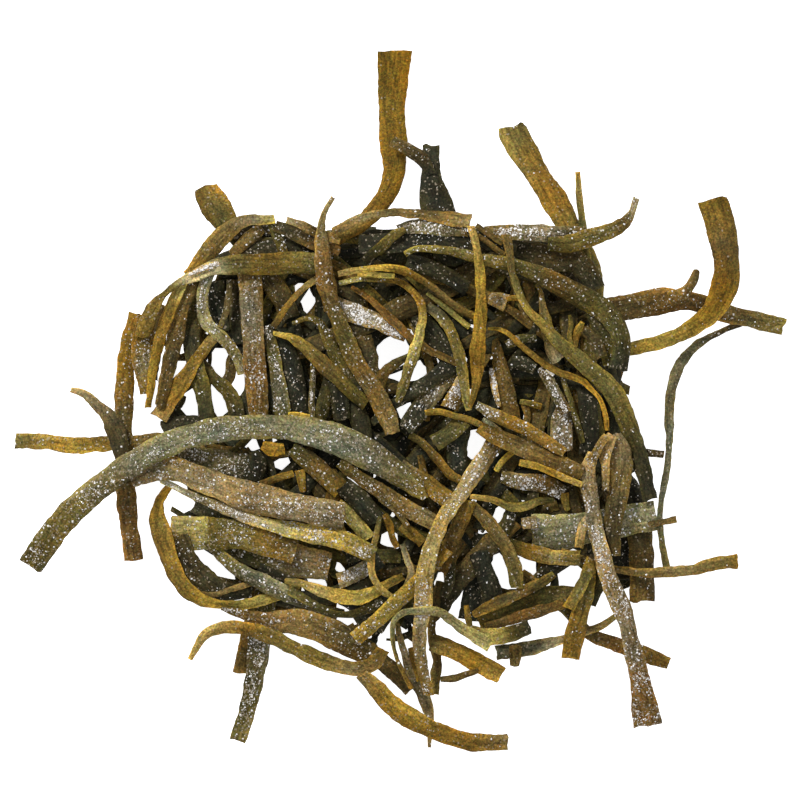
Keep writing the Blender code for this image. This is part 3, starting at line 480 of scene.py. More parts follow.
umber cream straw straw straw cream tan ochre 0.8: 14 -6.5 2.4,11.5 -10.3 2.7,9 -14 2.5,6.5 -17.6 2.2,
5 -20.8 2.2,3.9 -25 2.5,3.4 -30 2.6,3 -34 2,2.9 -37 1.9,3.4 -40 1.7,4.3 -44 1.2;
paleolive sage sage olive ochre 0.2: 13.5 -36.4 2.2,11.4 -35.3 2,9.5 -34 1.8,7.6 -32.6 1.5,5.4 -31.4 1.3,
2.6 -31.3 1.2,0.4 -31.6 1,-0.8 -32.7 0.8,-1.1 -35 0.7,-0.6 -38 0.7,0.5 -40.6 0.7,1.6 -42.8 0.6;
tan gold gold ochre ochre tan 0.3: -5.8 -40.8 2,-3.4 -43 2.6,-1.4 -45.4 2.8,1.2 -47.2 2.9,4 -48.8 2.8,
7 -50 2.6,10 -51 2.6,13 -51.3 2.4,16.2 -51.2 2.4;
yellow 0.1: 17 -7.5 0.9,15 -9.5 0.9,14.3 -10.6 0.8;
ochre brown brown umber 0.4: 11.9 -4 1.7,14 -5.3 2.2,17 -6.6 2.6,20 -8 2.8,23.5 -9.4 2.8,27 -10.9 2.4;
yellow gold straw 0.1: 17.7 -9.2 1,20 -9.7 1,22.5 -10.7 1,25 -11.8 0.9,27 -12.6 0.8;
grey ochre ochre brown 0.8: 11.4 -0.6 1.2,13.6 -2 1.8,16.5 -3.3 2,19 -4.5 2,21.5 -6 1.8,24.5 -7.8 1.2;
gold ochre ochre gold ochre 0: 13.1 10.6 0.5,14.6 10.6 0.6,15.8 10.1 0.7,17.5 8.6 0.8,19.5 6.9 0.9,
21.5 5.3 1,23.5 4.2 1,25.5 3.5 1,27 2.9 1,28.2 1.8 0.9,29.6 0.3 0.8,30.5 -2 0.8,30.8 -4.5 0.7;
straw gold gold ochre ochre 0.1: 10.5 25.9 1.1,11 24 1.2,11.6 21.4 1.2,11.9 19 1.4,12 15 1.6,11.9 11 1.9,
11.6 8 2.3,11.5 5.6 2.2,11.4 3.4 1.5,11 1 0.9,10.4 -1 0.6;
tan tan russet umber moss brown brown tan 0.5: -9.9 30.3 0.6,-11.3 27.8 0.9,-11.8 25.3 1.6,-11.5 22 2.7,
-11.2 18.5 2.7,-10.3 14.8 2.6,-8.5 10.2 2.5,-6.3 5.2 2.8,-3.9 1.5 3,-2 -2.2 3.2,-1 -5 2.4;
""")

# Where the table shows through the heap: x, y and radius.
GAPS = read_points("""
-1.4 7.2 1.7, 0.3 7.6 0.9, -2.4 5.2 0.5, 2.8 4.2 0.8, -0.6 3.6 0.4, 1 -1.8 0.9, 11.7 -6.6 1.9,
14.3 -17.6 0.35, 15.1 -16.5 0.35, 12.3 -20.2 0.4, -2 -20.8 0.7, 8.3 -31 1.3, 9 -32.2 0.5, 14.7 -24.4 1,
15.4 -26.4 0.7, 16.1 -27.8 0.4, 6 -26.4 0.2, 19.2 -24.5 1, 19.3 -26.2 0.6, 25.3 -26 1.4, 21 -33.9 1.3,
23.6 -33.2 1.5, 30.5 -31.4 1.3, 32 -33.6 0.6, 6.3 -34.1 0.9, 8.5 -35.3 0.5, 10.5 -36.4 0.35, 7.4 -39.8 1,
-7.9 -32.7 0.8, -9 -31.1 0.35, -1.9 -34.5 0.4, -2.8 -36.2 0.4, -15 -35 0.5, -12.5 -35.9 0.7, -10 -37.2 0.6,
-29.3 -23.5 0.7, -27.6 -24.7 0.8, -25.8 -26 0.5, -33.5 -14.6 1, -31.8 -15.6 0.8, -13.2 -26.8 0.4,
-11.8 -27.1 0.5, -9 -25 0.3, -21.8 -6.6 0.5, -17.7 -9.4 0.6, -33.6 2.8 0.8, -32.6 4.8 0.7, -26.9 6.6 1,
-26.8 5 0.8, -26.5 3.4 0.5, -24 2.3 0.8, -27.2 0.8 0.9, -26.7 -1.2 0.9, -31.2 -1 1, -30.5 -2.4 0.6,
-31.2 0.5 0.4, -35.9 12.6 0.4, -35.2 14.2 0.4, -25.5 23.2 0.4, -13.6 14.9 0.8, -13.9 13.7 0.4,
-15.2 16.9 0.4, -1.8 26.4 0.5, 34.2 -9 0.6, 34.9 -12 0.6
""")

# The outline of the dense part of the heap, which the filling stays inside.
DENSE = read_points("""
-36 9, -31 18, -25 23.5, -20.5 25.5, -12 25, -4 25, 6 26, 14 25, 27 24, 30 17, 33 8, 32 0, 36 -8, 37 -16,
36 -28, 29 -29, 20 -32, 10 -34, 4 -36, -6 -37, -18 -32, -30 -28, -34 -20, -35 -8, -35 0
""")
heights = np.zeros((SIZE, SIZE))


def smooth_route(points, step):
    """Places about one step apart on a smooth curve through the given ones, with their widths."""
    points = np.array(points, float)
    gaps = np.linalg.norm(np.diff(points[:, :2], axis=0), axis=1)
    knots = np.concatenate([[0.0], np.cumsum(gaps)])
    slopes = np.gradient(points, knots, axis=0)
    count = max(4, int(round(knots[-1] / step)) + 1)
    at = np.linspace(0.0, knots[-1], count)
    span = np.clip(np.searchsorted(knots, at, side="right") - 1, 0, len(gaps) - 1)
    length = gaps[span][:, None]
    t = ((at - knots[span]) / gaps[span])[:, None]
    curve = (
        (2 * t**3 - 3 * t**2 + 1) * points[span]
        + (t**3 - 2 * t**2 + t) * length * slopes[span]
        + (3 * t**2 - 2 * t**3) * points[span + 1]
        + (t**3 - t**2) * length * slopes[span + 1]
    )
    curve[:, 2] = np.interp(at, knots, points[:, 2])
    return curve


def lattice(ix, iy, seed):
    """A repeatable random number from 0 to 1 for each lattice point, mixed from large odd numbers."""
    mix = ix.astype(np.int64) * 374761393 + iy.astype(np.int64) * 668265263 + seed * 974634777
    mix = (mix ^ (mix >> 13)) * 1274126177
    return ((mix ^ (mix >> 16)) & 0xFFFF) / 65535.0


def value_noise(x, y, seed):
    """Smooth noise from -1 to 1 over the plane."""
    ix = np.floor(x)
    iy = np.floor(y)
    fx = x - ix
    fy = y - iy
    fx = fx * fx * (3 - 2 * fx)
    fy = fy * fy * (3 - 2 * fy)
    low = lattice(ix, iy, seed) * (1 - fx) + lattice(ix + 1, iy, seed) * fx
    high = lattice(ix, iy + 1, seed) * (1 - fx) + lattice(ix + 1, iy + 1, seed) * fx
    return (low * (1 - fy) + high * fy) * 2 - 1


def line_noise(x, seed):
    """Smooth noise from -1 to 1 along a line."""
    return value_noise(x, x * 0.0, seed)


def layered(layers, along, across, seed, base=0.0):
    """A base value with layers of noise added."""
    for strength, length, breadth, start, extra in layers:
        base = base + strength * value_noise(along / length, across / breadth + start, seed + extra)
    return base


def core_height(x, y):
    """How high the dome is at a place, and 0 beside it."""
    across = (x - CORE_CENTRE[0]) / CORE_HALF_LENGTH
    along = (y - CORE_CENTRE[1]) / CORE_HALF_WIDTH
    dome = np.sqrt(np.clip(1.0 - across**2 - along**2, 0.0, 1.0))
    turn = 2.0 * math.pi / LUMP_SPACING
    lumps = np.sin(turn * x * 0.5 + 1.0) * np.cos(turn * y * 0.5) * CORE_LUMP
    return dome * (CORE_HEIGHT + lumps)


def cells(x, y):
    """The cells of the map of heights that places lie in."""
    column = np.clip(((x + REACH) / CELL).astype(int), 0, SIZE - 1)
    row = np.clip(((y + REACH) / CELL).astype(int), 0, SIZE - 1)
    return column, row


def directions(route):
    """The length so far, the way ahead and the way to the left at each station of a route."""
    steps = np.linalg.norm(np.diff(route[:, :2], axis=0), axis=1)
    along = np.concatenate([[0.0], np.cumsum(steps)])
    forward = np.gradient(route[:, :2], along, axis=0)
    forward /= np.linalg.norm(forward, axis=1)[:, None]
    return along, forward, np.stack([-forward[:, 1], forward[:, 0]], axis=1)


def evened(values, reach):
    """Values along a strap, evened out over a number of stations each way."""
    window = np.hanning(2 * reach + 3)[1:-1]
    window /= window.sum()
    return np.convolve(np.pad(values, reach, mode="edge"), window, mode="valid")


def thickness_of(width):
    return float(np.clip(width * THICK_SHARE, LEAST_THICKNESS, MOST_THICKNESS))


def lay(route, thickness, share, seed, plain):
    """Lay a strap on what is below it. share is how much of the core's height carries it."""
    bite, bend = (FILL_BITE, FILL_BEND) if plain else (BITE, BEND_RADIUS)
    along, forward, left = directions(route)
    half = route[:, 2] / 2.0
    offsets = np.linspace(-1.0, 1.0, PROBES)[None, :] * half[:, None]
    x = route[:, 0, None] + left[:, 0, None] * offsets
    y = route[:, 1, None] + left[:, 1, None] * offsets
    column, row = cells(x, y)
    support = np.maximum(heights[column, row] - bite, core_height(x, y) * share)

    lean = (support[:, -2] - support[:, 1]) / np.maximum(offsets[:, -2] - offsets[:, 1], LEAST_SPAN)
    lean = np.clip(evened(lean * LEAN_TAKEN, LEAN_REACH), -MOST_LEAN, MOST_LEAN)
    loose = np.clip(LOOSE_LEAN - LOOSE_FALL * route[:, 2].max(), *LOOSE_LIMITS)
    lean += loose * line_noise(along / LOOSE_WAVE, seed)
    need = (support - lean[:, None] * offsets).max(axis=1)
    sag = (along[:, None] - along[None, :]) ** 2 / (2.0 * bend)
    under = (need[None, :] - sag).max(axis=1)
    under = np.maximum(evened(under, UNDER_REACH), under - UNDER_DIP)
    under = np.maximum(under, np.abs(lean) * half + TABLE_CLEARANCE)
    top = under[:, None] + thickness + lean[:, None] * offsets
    np.maximum.at(heights, (column, row), top)
    return left, forward, along, under + thickness / 2.0, lean


def colours_along(names, share):
    """The colour at each share of a strap's length, blended through the named ones."""
    values = np.array([COLOURS[name] for name in names.split()], float) / 255.0
    values = np.where(values <= 0.04045, values / 12.92, ((values + 0.055) / 1.055) ** 2.4)
    if len(values) == 1:
        return np.repeat(values, len(share), axis=0)
    knots = np.linspace(0.0, 1.0, len(values))
    return np.stack([np.interp(share, knots, values[:, k]) for k in range(3)], axis=1)


def add_layer(mesh, name, kind, field, values):
    """Give a mesh's points one more value each."""
    layer = mesh.attributes.new(name, kind, "POINT")
    layer.data.foreach_set(field, values.astype(np.float32).ravel())


def add_object(name, mesh):
    made = bpy.data.objects.new(name, mesh)
    bpy.context.scene.collection.objects.link(made)
    return made


class Piece:
    """Gathers many straps into one mesh with its colours and coordinates."""

    def __init__(self, name):
        self.name = name
        self.straps = []
        self.count = 0

    def add(self, points, quads, *looks):
        self.straps.append((points, quads + self.count, *looks))
        self.count += len(points)

    def build(self, material):
        points, quads, tint, grain, frost, painted_rim_light = map(np.concatenate, zip(*self.straps))
        mesh = bpy.data.meshes.new(self.name)
        mesh.from_pydata((points * MM).tolist(), [], quads.tolist())
        add_layer(mesh, "tint", "FLOAT_COLOR", "color", np.column_stack([tint, np.ones(len(tint))]))
        add_layer(mesh, "grain", "FLOAT_VECTOR", "vector", grain)
        add_layer(mesh, "frost", "FLOAT", "value", frost)
        # The painted light on rims and cut ends.
        add_layer(mesh, "painted_rim_light", "FLOAT", "value", painted_rim_light)
        mesh.shade_smooth()
        mesh.set_sharp_from_angle(angle=SHARP_FROM)
        mesh.materials.append(material)
        return add_object(self.name, mesh)


def add_strap(piece, names, frost, points, seed, step=ROUTE_STEP, share=1.0, plain=False):
    """Lay one strap and add its mesh: a flat band with rounded, uneven edges and cut ends."""
    route = smooth_route(points, step)
    route[:, 2] *= layered(WIDTH_LAYERS, np.arange(len(route)) * step, route[:, 0] * 0.0, seed, 1.0)
    thickness = thickness_of(route[:, 2].max())
    laid = lay(route, thickness, share, seed, plain)
    return shape_strap(piece, names, frost, route, thickness, laid, seed, plain)


def faces_of(stations, ring):
    """The faces of a band of rings, with its ends filled but for the corners."""
    row = np.arange(stations - 1)[:, None] * ring
    column = np.arange(ring)[None, :]
    after = (column + 1) % ring
    sides = np.stack([row + column, row + ring + column, row + ring + after, row + after], axis=2)
    caps = []
    for start, turn in ((0, 1), ((stations - 1) * ring, -1)):
        for k in range(1, (ring - 1) // 2):
            caps.append([start + k, start + k + 1, start + ring - k - 1, start + ring - k][::turn])
    return np.concatenate([sides.reshape(-1, 4), np.array(caps, int)])


def shape_strap(piece, names, frost, route, thickness, laid, seed, plain):
    """Add the mesh of a strap that has been laid, and say where its upper face is."""
    left, forward, along, middle, lean = laid
    widest = route[:, 2].max()
    stations = len(route)
    half = route[:, 2] / 2.0

    tops = TOP_COUNTS[0] if plain else int(np.clip(round(widest / TOP_SPACING), *TOP_COUNTS))
    unders = PLAIN_UNDERS if plain else max(LEAST_UNDERS, tops - FEWER_UNDERS)
    upper = np.linspace(-UPPER_REACH, UPPER_REACH, tops)
    lower = np.linspace(LOWER_REACH, -LOWER_REACH, unders)
    across = np.concatenate([[-1.0], upper, [1.0], lower])
    lift = np.concatenate([[0.0], np.ones(tops), [0.0], -np.ones(unders)])
    lift *= (1.0 - np.abs(across) ** ROUNDING) ** 0.5
    ring = len(across)

    s = along[:, None] + np.zeros(ring)[None, :]
    u = across[None, :] * half[:, None]
    level = along * 0.0
    side = np.sign(across)[None, :]
    near_edge = np.abs(across)[None, :] ** EDGE_POWER
    shift = layered(EDGE_LAYERS, s, side * EDGES_APART + s * 0.0, seed)
    shift = shift * near_edge * np.minimum(1.0, half[:, None] * EDGE_FADE)
    u = u + shift * side
    bump = 0.0 if plain else layered(FACE_LAYERS, s, u, seed)
    cup = CROWN + layered(CUP_LAYERS, along, level, seed)[:, None]
    swell = 1.0 - THICK_VARIES + THICK_VARIES * np.cos(s * THICK_TURN + seed)
    z = middle[:, None] + lift[None, :] * thickness / 2.0 * swell
    z = z + lean[:, None] * u + bump * (lift[None, :] > 0)
    z = z + cup * (u**2) / np.maximum(half[:, None], LEAST_HALF)
    z = np.maximum(z, LOWEST)

    # Cut ends: a little ragged, with the first and last rings drawn out unevenly.
    stretch = np.zeros((stations, ring))
    ragged = RAGGED * min(1.0, widest / RAGGED_FROM)
    for end, extra in zip((0, -1), END_SEEDS):
        stretch[end] = ragged * line_noise(u[end] / RAGGED_WAVE, seed + extra)
    x = route[:, 0, None] + left[:, 0, None] * u + forward[:, 0, None] * stretch
    y = route[:, 1, None] + left[:, 1, None] * u + forward[:, 1, None] * stretch
    verts = np.stack([x, y, z], axis=2)

    # Tone that differs at random, then painted shade across and under the strap.
    tone_and_painted_shade = layered(SHADE_LAYERS, s, u, seed, 1.0)
    # Painted shade across the strap: one side lighter, the other darker.
    tone_and_painted_shade = tone_and_painted_shade + layered(PAINTED_SIDE_SHADE_LAYERS, along, level, seed)[:, None] * across[None, :]
    # Painted shade on the underside of the strap.
    tone_and_painted_shade = np.clip(tone_and_painted_shade, *SHADE_LIMITS) * (1.0 - UNDERSIDE_PAINTED_SHADE * (lift < 0))[None, :]
    turned = 1.0 + layered(HUE_LAYERS, s, u, seed)[:, :, None] * HUE_TURN
    tint = colours_along(names, along / along[-1])[:, None, :] * tone_and_painted_shade[:, :, None] * turned
    near_end = np.minimum(along, along[-1] - along) < PAINTED_END_LIGHT_REACH
    # Painted light: the edges and the cut ends are made lighter.
    painted_edge_light = np.broadcast_to(np.abs(across)[None, :] ** PAINTED_RIM_LIGHT_POWER, (stations, ring))
    painted_rim_light = np.maximum(painted_edge_light, near_end[:, None] * PAINTED_END_LIGHT_STRENGTH)
    grain = np.stack([s, u, np.full_like(s, seed * GRAINS_APART)], axis=2)
    piece.add(
        verts.reshape(-1, 3), faces_of(stations, ring), tint.reshape(-1, 3), grain.reshape(-1, 3),
        np.full(stations * ring, frost), painted_rim_light.reshape(-1),
    )
    return verts, np.flatnonzero(lift > SALTED_LIFT), frost


def inside(points, outline):
    """Which points lie inside a closed outline."""
    x, y = points[:, 0], points[:, 1]
    found = np.zeros(len(points), bool)
    previous = outline[-1]
    for corner in outline:
        (x0, y0), (x1, y1) = previous, corner
        crosses = (y0 > y) != (y1 > y)
        with np.errstate(divide="ignore", invalid="ignore"):
            at = (x1 - x0) * (y - y0) / (y1 - y0) + x0
        found ^= crosses & (x < at)
        previous = corner
    return found


def wandering_route(x, y, heading, length, bend, width):
    """A strap's route from its middle: a steady bend one way and a little of the other."""
    t = np.linspace(-0.5, 0.5, ROUTE_POINTS)
    turn = heading + bend * t + ROUTE_SWAY * bend * np.sin(2 * math.pi * t)
    step = length / (ROUTE_POINTS - 1.0)
    dx = np.cumsum(np.cos(turn)) * step
    dy = np.cumsum(np.sin(turn)) * step
    dx -= dx[ROUTE_POINTS // 2]
    dy -= dy[ROUTE_POINTS // 2]
    taper = 1.0 - ROUTE_TAPER + ROUTE_TAPER * np.cos(ROUTE_TAPER_TURN * t * math.pi / 2)
    return np.column_stack([x + dx, y + dy, np.full(ROUTE_POINTS, width) * taper])


def clear_of_gaps(route, half):
    """Whether a route leaves every gap open."""
    gaps = np.array(GAPS)
    away = np.linalg.norm(route[:, None, :2] - gaps[None, :, :2], axis=2)
    return bool((away > gaps[None, :, 2] + half + GAP_CLEARANCE).all())


def mark(cover, route):
    """Mark what a strap covers, seen from above."""
    forward = np.gradient(route[:, :2], axis=0)
    forward /= np.maximum(np.linalg.norm(forward, axis=1), 1e-6)[:, None]
    left = np.stack([-forward[:, 1], forward[:, 0]], axis=1)
    offsets = np.linspace(-COVERED, COVERED, COVER_PROBES)[None, :] * route[:, 2, None] / 2.0
    x = route[:, 0, None] + left[:, 0, None] * offsets
    y = route[:, 1, None] + left[:, 1, None] * offsets
    cover[cells(x, y)] = True


def fill(piece):
    """Straps under the ones that show, where table would show outside the gaps, till the tries end."""
    cover = np.zeros((SIZE, SIZE), bool)
    middles = (np.arange(SIZE) + 0.5) * CELL - REACH
    grid = np.stack(np.meshgrid(middles, middles, indexing="ij"), axis=2).reshape(-1, 2)
    wanted = inside(grid, DENSE).reshape(SIZE, SIZE)
    for x, y, radius in GAPS:
        away = (grid[:, 0] - x) ** 2 + (grid[:, 1] - y) ** 2
        wanted &= (away > (radius + GAP_MARGIN) ** 2).reshape(SIZE, SIZE)
    for _, _, points in STRAPS:
        mark(cover, smooth_route(points, CELL))
    chosen = []
    for attempt in range(FILL_TRIES):
        open_cells = np.argwhere(wanted & ~cover)
        if len(open_cells) < FILL_OPEN_CELLS or len(chosen) >= FILL_MOST:
            break
        column, row = open_cells[rng.integers(len(open_cells))]
        x = middles[column] + rng.uniform(-1, 1)
        y = middles[row] + rng.uniform(-1, 1)
        length = rng.uniform(*FILL_LENGTHS) * (1.0 - FILL_SHORTER * attempt / FILL_TRIES)
        width = rng.uniform(*FILL_WIDTHS) * (1.0 - FILL_NARROWER * attempt / FILL_TRIES)
        heading = rng.uniform(0, math.pi)
        route = wandering_route(x, y, heading, length, rng.normal(0, FILL_TURN), width)
        fine = smooth_route(route, FILL_STEP)
        if not inside(fine, DENSE).all() or not clear_of_gaps(fine, width / 2.0):
            continue
        trial = cover.copy()
        mark(trial, smooth_route(route, CELL))
        gain = (wanted & trial).sum() - (wanted & cover).sum()
        if gain < FILL_GAINS[attempt >= FILL_TRIES / 3]:
            continue
        cover = trial
        chosen.append(route)
    shares = np.sort(rng.uniform(*FILL_SHARES, len(chosen)) ** FILL_SHARE_POWER)
    order = rng.permutation(len(chosen))
    for number, (share, index) in enumerate(zip(shares, order)):
        names = FILL_SHADE_COLOURS[number % len(FILL_SHADE_COLOURS)]
        add_strap(piece, names, HIDDEN_SALT, chosen[index], FILL_SEED + number, FILL_STEP, share, True)
    print("filling:", len(chosen), "straps, open cells left:", int((wanted & ~cover).sum()))


def flank(piece):
    """Short straps round the heap's flank, on shells one inside the other."""
    for number in range(FLANK_TRIES):
        shell = rng.uniform(*FLANK_SHELLS)
        start = 2.0 * math.pi * (number + rng.uniform(-FLANK_JITTER, FLANK_JITTER)) / FLANK_TRIES
        sweep = rng.uniform(*FLANK_SWEEP) * rng.choice((-1.0, 1.0))
        count = max(FLANK_LEAST, int(abs(sweep) * CORE_HALF_LENGTH / FILL_STEP))
        t = np.linspace(0.0, 1.0, count)
        turn = start + sweep * t
        level = rng.uniform(*FLANK_STARTS) * (1.0 - t) + rng.uniform(*FLANK_ENDS) * t
        out = shell * np.sqrt(1.0 - level**2) + FLANK_OUT * (2.0 * t - 1.0) ** 4
        a, b = out * np.cos(turn), out * np.sin(turn)
        width = rng.uniform(*FLANK_WIDTHS)
        route = np.column_stack([
            CORE_CENTRE[0] + a * CORE_HALF_LENGTH,
            CORE_CENTRE[1] + b * CORE_HALF_WIDTH,
            np.full(len(t), width) * (1.0 - FLANK_TAPER * np.abs(2.0 * t - 1.0) ** 3),
        ])
        if not clear_of_gaps(route, width / 2.0):
            continue
        seed = FLANK_SEED + number
        thickness = thickness_of(width)
        along, forward, left = directions(route)
        fall_x = -CORE_HEIGHT * a / (CORE_HALF_LENGTH * level)
        fall_y = -CORE_HEIGHT * b / (CORE_HALF_WIDTH * level)
        lean = np.clip(fall_x * left[:, 0] + fall_y * left[:, 1], -FLANK_LEAN, FLANK_LEAN)
        lean += FLANK_TWIST * line_noise(along / FLANK_WAVE, seed)
        least = np.abs(lean) * width / 2.0 + thickness / 2.0 + TABLE_CLEARANCE
        middle = np.maximum(level * CORE_HEIGHT, least)
        column, row = cells(route[:, 0], route[:, 1])
        np.maximum.at(heights, (column, row), middle + thickness / 2.0)
        names = FLANK_SHADE_COLOURS[number % len(FLANK_SHADE_COLOURS)]
        laid = (left, forward, along, middle, lean)
        shape_strap(piece, names, HIDDEN_SALT, route, thickness, laid, seed, True)


def new_material(name):
    """A material with its nodes, links and main shader."""
    material = bpy.data.materials.new(name)
    material.use_nodes = True
    tree = material.node_tree
    return material, tree.nodes, tree.links, tree.nodes["Principled BSDF"]


def seaweed():
    """Dry seaweed: grainy, blotched, with painted light on its rims and glints of salt."""
    material, nodes, links, shader = new_material("seaweed")

    def node(kind, **inputs):
        made = nodes.new(kind)
        for name, value in inputs.items():
            put(made.inputs[name.replace("_", " ")], value)
        return made

    def put(socket, value):
        if isinstance(value, (int, float, tuple)):
            socket.default_value = value
        else:
            links.new(value, socket)

    def attribute(name):
        made = node("ShaderNodeAttribute")
        made.attribute_name = name
        return made

    def noise(vector, scale, detail, rough=0.6):
        made = node("ShaderNodeTexNoise", Scale=scale, Detail=detail, Roughness=rough, Vector=vector)
        return made.outputs["Fac"]

    def spread(value, low, high, to_low, to_high):
        made = node("ShaderNodeMapRange", From_Min=low, From_Max=high, To_Min=to_low, To_Max=to_high)
        put(made.inputs["Value"], value)
        return made.outputs["Result"]

    def combine(kind, a, b):
        made = node("ShaderNodeMath")
        made.operation = kind
        put(made.inputs[0], a)
        put(made.inputs[1], b)
        return made.outputs["Value"]

    def times(a, b):
        return combine("MULTIPLY", a, b)

    def mix(kind, factor, a, b):
        made = node("ShaderNodeMix")
        made.data_type = "RGBA"
        made.blend_type = kind
        for socket, value in ((0, factor), (6, a), (7, b)):
            put(made.inputs[socket], value)
        return made.outputs[2]

    def shaded(colour, by):
        return mix("MULTIPLY", 1.0, colour, by)

    place = node("ShaderNodeTexCoord").outputs["Object"]
    stretch = node("ShaderNodeMapping", Scale=(0.3, 2.0, 1.0), Vector=attribute("grain").outputs["Vector"])
    tint = attribute("tint").outputs["Color"]
    blotch = noise(place, scale=330.0, detail=2.0)
    fibre = noise(stretch.outputs["Vector"], scale=1.1, detail=3.0)
    grain = noise(place, scale=3400.0, detail=2.0, rough=0.7)
    speck = node("ShaderNodeTexVoronoi", Scale=4200.0, Vector=place)
    split = node("ShaderNodeSeparateColor", Color=speck.outputs["Color"])
    red, green, blue = (split.outputs[name] for name in ("Red", "Green", "Blue"))

    warm = shaded(tint, (1.12, 1.03, 0.76, 1.0))
    cool = shaded(tint, (0.85, 0.92, 0.92, 1.0))
    base = mix("MIX", spread(blotch, 0.36, 0.64, 0.0, 1.0), cool, warm)
    base = shaded(base, spread(fibre, 0.3, 0.7, 0.5, 1.5))
    # Painted light: the rims are lighter and more golden, as light coming through the thin edges.
    painted_rim_light_colour = shaded(tint, (1.9, 1.68, 0.8, 1.0))
    patchy = spread(noise(place, scale=220.0, detail=1.0), 0.4, 0.6, 0.1, 0.9)
    base = mix("MIX", times(attribute("painted_rim_light").outputs["Fac"], patchy), base, painted_rim_light_colour)
    base = shaded(base, spread(red, 0.0, 1.0, 0.62, 1.42))
    reddish = shaded(base, (1.14, 0.96, 0.95, 1.0))
    greenish = shaded(base, (0.86, 1.05, 0.85, 1.0))
    base = mix("MIX", blue, reddish, greenish)
    base = shaded(base, spread(grain, 0.33, 0.67, 0.65, 1.35))

    # Salt too fine for grains: sandy specks, dark specks between them and a bright crust.
    crust = spread(noise(place, scale=420.0, detail=3.0), 0.36, 0.62, 0.25, 1.0)
    salted = times(attribute("frost").outputs["Fac"], crust)
    sandy = combine("LESS_THAN", green, times(combine("POWER", salted, 1.6), 0.46))
    base = mix("MIX", times(sandy, 0.6), base, (0.33, 0.27, 0.19, 1.0))
    dark_specks = combine("GREATER_THAN", blue, combine("SUBTRACT", 1.0, times(salted, 0.10)))
    base = mix("MIX", times(dark_specks, 0.6), base, (0.05, 0.044, 0.026, 1.0))
    bright = combine("LESS_THAN", green, times(combine("POWER", salted, 3.0), 0.16))
    base = mix("MIX", bright, base, (0.75, 0.73, 0.70, 1.0))
    put(shader.inputs["Base Color"], base)

    rough = spread(grain, 0.3, 0.7, 0.5, 0.85)
    put(shader.inputs["Roughness"], combine("SUBTRACT", rough, times(sandy, 0.15)))
    put(shader.inputs["Specular IOR Level"], 0.07)
    height = combine("ADD", times(grain, 0.5), times(fibre, 0.9))
    height = combine("ADD", height, times(red, 0.35))
    bump = node("ShaderNodeBump", Strength=0.8, Distance=0.00022, Height=height)
    put(shader.inputs["Normal"], bump.outputs["Normal"])
    return material


def salt_material():
    """Salt grains: from dull and sandy to clear white, by the grain's own tone."""
    material, nodes, links, shader = new_material("salt")
    tone = nodes.new("ShaderNodeAttribute")
    tone.attribute_name = "tone"
    ramp = nodes.new("ShaderNodeValToRGB")
    dull, clear = ramp.color_ramp.elements
    dull.position = 0.0
    dull.color = (0.20, 0.16, 0.11, 1.0)
    clear.position = 1.0
    clear.color = (0.95, 0.94, 0.92, 1.0)
    ramp.color_ramp.elements.new(0.55).color = (0.69, 0.63, 0.54, 1.0)
    links.new(tone.outputs["Fac"], ramp.inputs["Fac"])
    links.new(ramp.outputs["Color"], shader.inputs["Base Color"])
    shader.inputs["Roughness"].default_value = 0.2
    return material


def salt_spots(laid, count):
    """Places for salt grains on the straps' upper faces, in drifts, most where salt is."""
    weights = np.array([frost**SALT_POWER * len(verts) * len(uppers) for verts, uppers, frost in laid])
    picks = rng.choice(len(laid), size=SALT_TRIES * count, p=weights / weights.sum())
    spots = []
    for pick in picks:
        verts, uppers, frost = laid[pick]
        station = rng.integers(len(verts) - 1)
        column = uppers[rng.integers(len(uppers) - 1)]
        a, b = rng.uniform(0, 1, 2)
        near = verts[station, column] * (1 - a) + verts[station + 1, column] * a
        far = verts[station, column + 1] * (1 - a) + verts[station + 1, column + 1] * a
        spots.append(near * (1 - b) + far * b)
    spots = np.array(spots)
    x, y = spots[:, 0], spots[:, 1]
    coarse, fine = SALT_DRIFT_SEEDS
    drift = value_noise(x / SALT_DRIFT, y / SALT_DRIFT, coarse) + 0.5 * value_noise(x, y, fine)
    kept = np.clip(SALT_KEPT[0] + SALT_KEPT[1] * drift, *SALT_KEPT_LIMITS) ** 2
    return spots[rng.uniform(0, 1, len(spots)) < kept][:count]


def make_salt(laid, count):
    """Salt grains: little uneven cubes."""
    corners = np.array([[x, y, z] for x in (-1, 1) for y in (-1, 1) for z in (-1, 1)], float)
    faces = np.array([[0, 1, 3, 2], [4, 6, 7, 5], [0, 4, 5, 1], [2, 3, 7, 6], [0, 2, 6, 4], [1, 5, 7, 3]])
    points, quads, tones = [], [], []
    for number, spot in enumerate(salt_spots(laid, count)):
        size = SALT_SIZE * np.clip(rng.lognormal(*SALT_SIZES), *SALT_SIZE_LIMITS)
        q = rng.normal(size=4)
        w, i, j, k = q / np.linalg.norm(q)
        turn = np.array([
            [1 - 2 * (j * j + k * k), 2 * (i * j - k * w), 2 * (i * k + j * w)],
            [2 * (i * j + k * w), 1 - 2 * (i * i + k * k), 2 * (j * k - i * w)],
            [2 * (i * k - j * w), 2 * (j * k + i * w), 1 - 2 * (i * i + j * j)],
        ])
        cube = corners * rng.uniform(*SALT_CORNERS, (8, 3)) * size * rng.uniform(*SALT_SIDES, 3)
        points.append(cube @ turn.T + spot + np.array([0, 0, size * 0.5]))
        quads.append(faces + 8 * number)
        tones.append(np.full(8, rng.uniform(0, 1)))
    mesh = bpy.data.meshes.new("salt_crystals")
    mesh.from_pydata((np.concatenate(points) * MM).tolist(), [], np.concatenate(quads).tolist())
    add_layer(mesh, "tone", "FLOAT", "value", np.concatenate(tones))
    mesh.materials.append(salt_material())
    return add_object("salt_crystals", mesh)


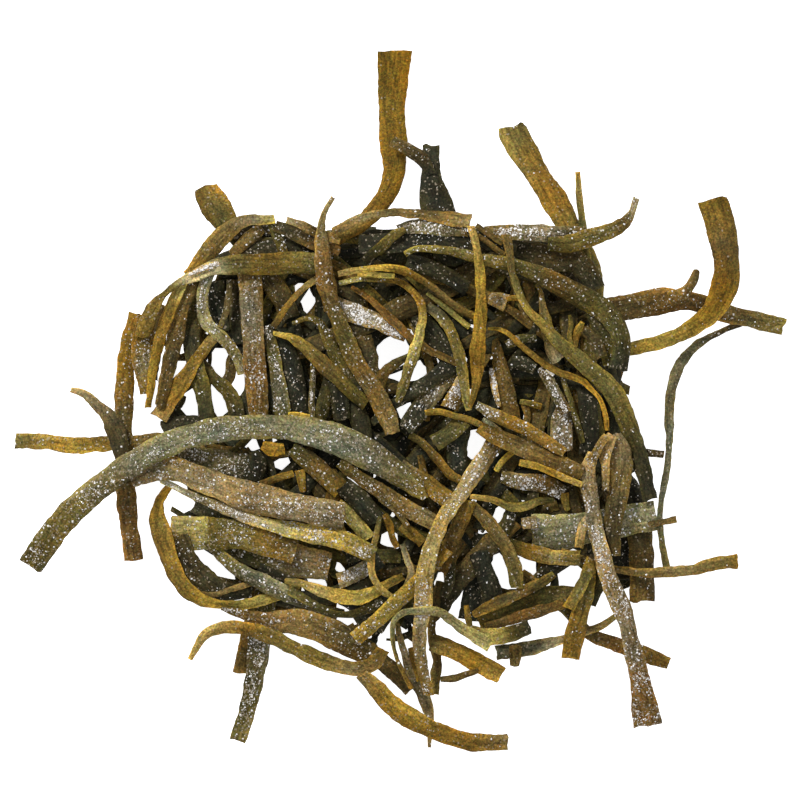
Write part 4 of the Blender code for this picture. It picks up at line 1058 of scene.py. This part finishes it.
def build_heap():
    """Make the heap's five pieces, the hidden straps first."""
    pieces = {name: Piece(name) for name in ("under_straps", "broad_straps", "narrow_straps", "thin_strands")}
    hidden = pieces["under_straps"]
    flank(hidden)
    for number, (names, frost, points) in enumerate(SHADED):
        add_strap(hidden, names, frost, points, SHADED_SEED + number, FILL_STEP, SHADED_SHARE, True)
    fill(hidden)
    laid = []
    for number, (names, frost, points) in enumerate(STRAPS):
        widest = max(width for _, _, width in points)
        kind = "broad_straps" if widest >= BROAD else "narrow_straps" if widest > THIN else "thin_strands"
        laid.append(add_strap(pieces[kind], names, frost, points, number))
    surface = seaweed()
    shown = [piece.build(surface) for piece in pieces.values()]
    shown.append(make_salt(laid, SALT_COUNT))
    return shown


def floor_and_light():
    """A plain pale table, soft light from above and a camera straight above."""
    bpy.ops.mesh.primitive_plane_add(size=3.0, location=(0, 0, 0))
    table = bpy.context.object
    table.name = "table"
    material, *_, shader = new_material("table")
    looks = {
        "Base Color": (0.9, 0.9, 0.9, 1), "Roughness": 0.9,
        "Emission Color": (1, 1, 1, 1), "Emission Strength": 0.92,
    }
    for name, value in looks.items():
        shader.inputs[name].default_value = value
    table.data.materials.append(material)

    scene = bpy.context.scene
    scene.world = bpy.data.worlds.new("world")
    scene.world.use_nodes = True
    sky = scene.world.node_tree.nodes["Background"]
    sky.inputs["Color"].default_value = (0.98, 1.0, 1.06, 1)
    sky.inputs["Strength"].default_value = 0.60

    def lamp(name, place, size, power):
        light = bpy.data.lights.new(name, "AREA")
        light.shape = "DISK"
        light.size = size
        light.energy = power
        holder = add_object(name, light)
        holder.location = place
        holder.rotation_euler = (-holder.location).to_track_quat("-Z", "Y").to_euler()

    lamp("key", (-0.27, 0.4, 0.5), size=0.14, power=4.2)
    lamp("fill", (0.3, 0.1, 0.7), size=0.4, power=0.5)

    camera = bpy.data.cameras.new("camera")
    camera.sensor_width = 36.0
    distance = 1.5
    seen_across = 0.12
    camera.lens = camera.sensor_width * distance / seen_across
    camera.clip_start = 0.1
    camera.clip_end = 10.0
    holder = add_object("camera", camera)
    holder.location = (0, 0, distance)
    scene.camera = holder
    scene.view_settings.view_transform = "Standard"


for made in build_heap():
    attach(made, "root")
    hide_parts("sea_spaghetti_heap")
    made.data.calc_loop_triangles()
    print(made.name, len(made.data.loop_triangles), "triangles")
floor_and_light()
